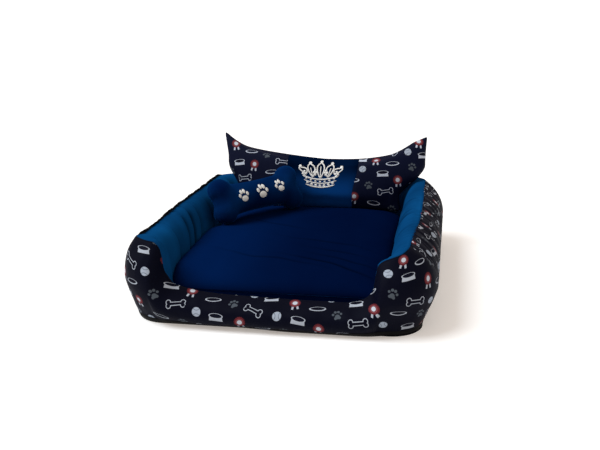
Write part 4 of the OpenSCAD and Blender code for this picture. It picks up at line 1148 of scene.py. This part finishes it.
def coronet():
    """A plain coronet: five open petals with a spot on each tip, small trefoils between them, and a
    curved band of two cords with spots in it."""
    marks = []
    for y, wide, bow, thick in ((-35, 33, 7, 3.2), (-26, 37, 8, 2.6), (-17, 41, 9, 3.4)):
        marks.append(("stroke", (-wide, y + bow), (0, y - bow), (wide, y + bow), thick))
    for i in range(-3, 4):
        marks += [("spot", (i * 9.5, -31 + 0.75 * i * i), 3.2, 2.6),
                  ("spot", (i * 10.5, -22 + 0.85 * i * i), 2.4, 2.0)]
    for x, y, root in ((-47, 10, -33), (-25, 19, -17), (0, 23, 0), (25, 19, 17), (47, 10, 33)):
        low = -15 + 0.008 * root ** 2
        middle = np.array([(root + x) / 2, (low + y) / 2])
        for side in (-1, 1):
            marks.append(("stroke", (root, low), middle + [16 * side, 9], (x, y), 3.0))
        marks += [("stroke", (root, low), middle, (x * 0.93, y - 9), 2.4), ("spot", (x, y + 3), 3.4, 3.8)]
    for x, y in ((-36, 2), (-12, 5), (12, 5), (36, 2)):
        for dx, dy in ((-3, 0), (3, 0), (0, 5), (0, -5)):
            marks.append(("spot", (x * 1.02 + dx, y - 6 + dy), 2.7, 2.9))
    return marks


def paw(x, y, size, turn):
    """A paw: four toes over one broad pad, turned about its middle."""
    c, s = np.cos(turn), np.sin(turn)
    ovals = ((-8, 3, 2.7, 3.8), (-3, 9, 2.9, 4.2), (3, 9, 2.9, 4.2), (8, 3, 2.7, 3.8), (0, -4, 6.6, 5.2))
    return [("spot", (x + size * (c * px - s * py), y + size * (s * px + c * py)), size * rx, size * ry)
            for px, py, rx, ry in ovals]


coronet_at = in_cushion(np.array(SHIFT * 0.6 + 2), np.array(82.5), np.array(0.0))
stitched("cushion_coronet", coronet(), bpy.data.objects["cushion_centre_velvet"], coronet_at,
         1.05 * ACROSS, 1.03 * UP, OUT, "back_cushion")
paws = paw(-52, -2, 1.25, 0.15) + paw(-2, -1, 1.4, -0.12) + paw(48, 3, 1.25, 0.2)
stitched("pillow_paws", paws, bone, BONE_MID, BONE_X, BONE_Y, BONE_Z, "bone_pillow")


# The frame's own nodes

for name, finish in (("base_cloth", BLACK), ("floor_lining", LINING), ("mattress_bottom_panel", BLACK),
                     ("base_wadding", LINING), ("mattress_zip_upper_half", ZIP_CLOTH),
                     ("mattress_zip_lower_half", ZIP_CLOTH), ("mattress_zip_slider", STEEL),
                     ("cushion_zip_upper_half", ZIP_CLOTH), ("cushion_zip_lower_half", ZIP_CLOTH),
                     ("cushion_zip_slider", STEEL), ("cushion_zip_tab", STEEL)):
    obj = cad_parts[name]
    obj.data.materials.clear()
    obj.data.materials.append(finish)


# Studio

def studio_floor():
    """A white floor without an edge, which glows a little to the camera and keeps the shadow."""
    m, t = material("studio_paper")
    ray = add(t, "LightPath").node.outputs
    seen = add(t, "Math", (ray["Is Camera Ray"], ray["Is Glossy Ray"]), operation="MAXIMUM")
    paper = add(t, "BsdfDiffuse", {"Color": (0.93, 0.93, 0.93, 1)})
    glow = add(t, "Emission", {"Color": (1, 0.92, 0.85, 1),
                               "Strength": add(t, "Math", (seen, 0.33), operation="MULTIPLY")})
    add(t, "OutputMaterial", {"Surface": add(t, "AddShader", (paper, glow))})
    corners = [[-4e4, -2e4, 0], [4e4, -2e4, 0], [4e4, 6e4, 0], [-4e4, 6e4, 0]]
    mesh_piece("studio_floor", corners, [[0, 1, 2, 3]], m)


def studio_light():
    """Even warm light all round, white to the camera, and one broad lamp from the front left."""
    scene = bpy.context.scene
    scene.world = bpy.data.worlds.new("studio_light")
    scene.world.use_nodes = True
    t = scene.world.node_tree
    t.nodes.clear()
    ray = add(t, "LightPath").node.outputs
    seen = add(t, "Math", (ray["Is Camera Ray"], ray["Is Transmission Ray"]), operation="MAXIMUM")
    room = add(t, "Background", {"Color": (1.0, 0.9, 0.82, 1), "Strength": 0.55})
    white = add(t, "Background", {"Color": (1, 1, 1, 1), "Strength": 1.0})
    add(t, "OutputWorld", {"Surface": add(t, "MixShader", (seen, room, white))})
    sun = bpy.data.lights.new("front_left_lamp", "SUN")
    sun.energy, sun.angle, sun.color = 2.3, np.radians(34), (0.84, 0.93, 1.0)
    lamp = bpy.data.objects.new("front_left_lamp", sun)
    lamp.rotation_euler = Vector((0.72, 0.25, -1.0)).to_track_quat("-Z", "Y").to_euler()
    scene.collection.objects.link(lamp)


def studio_camera():
    """The camera stands where the photograph was taken from. Its axes are worked out from its yaw,
    pitch and roll."""
    yaw, pitch, roll = np.radians(CAMERA_TURN)
    ahead = np.array([np.sin(yaw) * np.cos(pitch), np.cos(yaw) * np.cos(pitch), -np.sin(pitch)])
    level = np.array([np.cos(yaw), -np.sin(yaw), 0])
    above = np.cross(level, ahead)
    right = level * np.cos(roll) + above * np.sin(roll)
    up = -level * np.sin(roll) + above * np.cos(roll)
    data = bpy.data.cameras.new("camera")
    data.sensor_width, data.sensor_fit = 36, "HORIZONTAL"
    data.lens = FOCAL_PX * 36 / PHOTO_W
    data.shift_x, data.shift_y = (pixels / PHOTO_W for pixels in LENS_SHIFT)
    data.clip_end = 200
    camera = bpy.data.objects.new("camera", data)
    axes = np.column_stack([right, up, -ahead, np.array(CAMERA_AT) * MM])
    camera.matrix_world = Matrix(axes.tolist() + [[0, 0, 0, 1]])
    bpy.context.scene.collection.objects.link(camera)
    bpy.context.scene.camera = camera
    bpy.context.scene.view_settings.view_transform = "Standard"


studio_floor()
studio_light()
studio_camera()
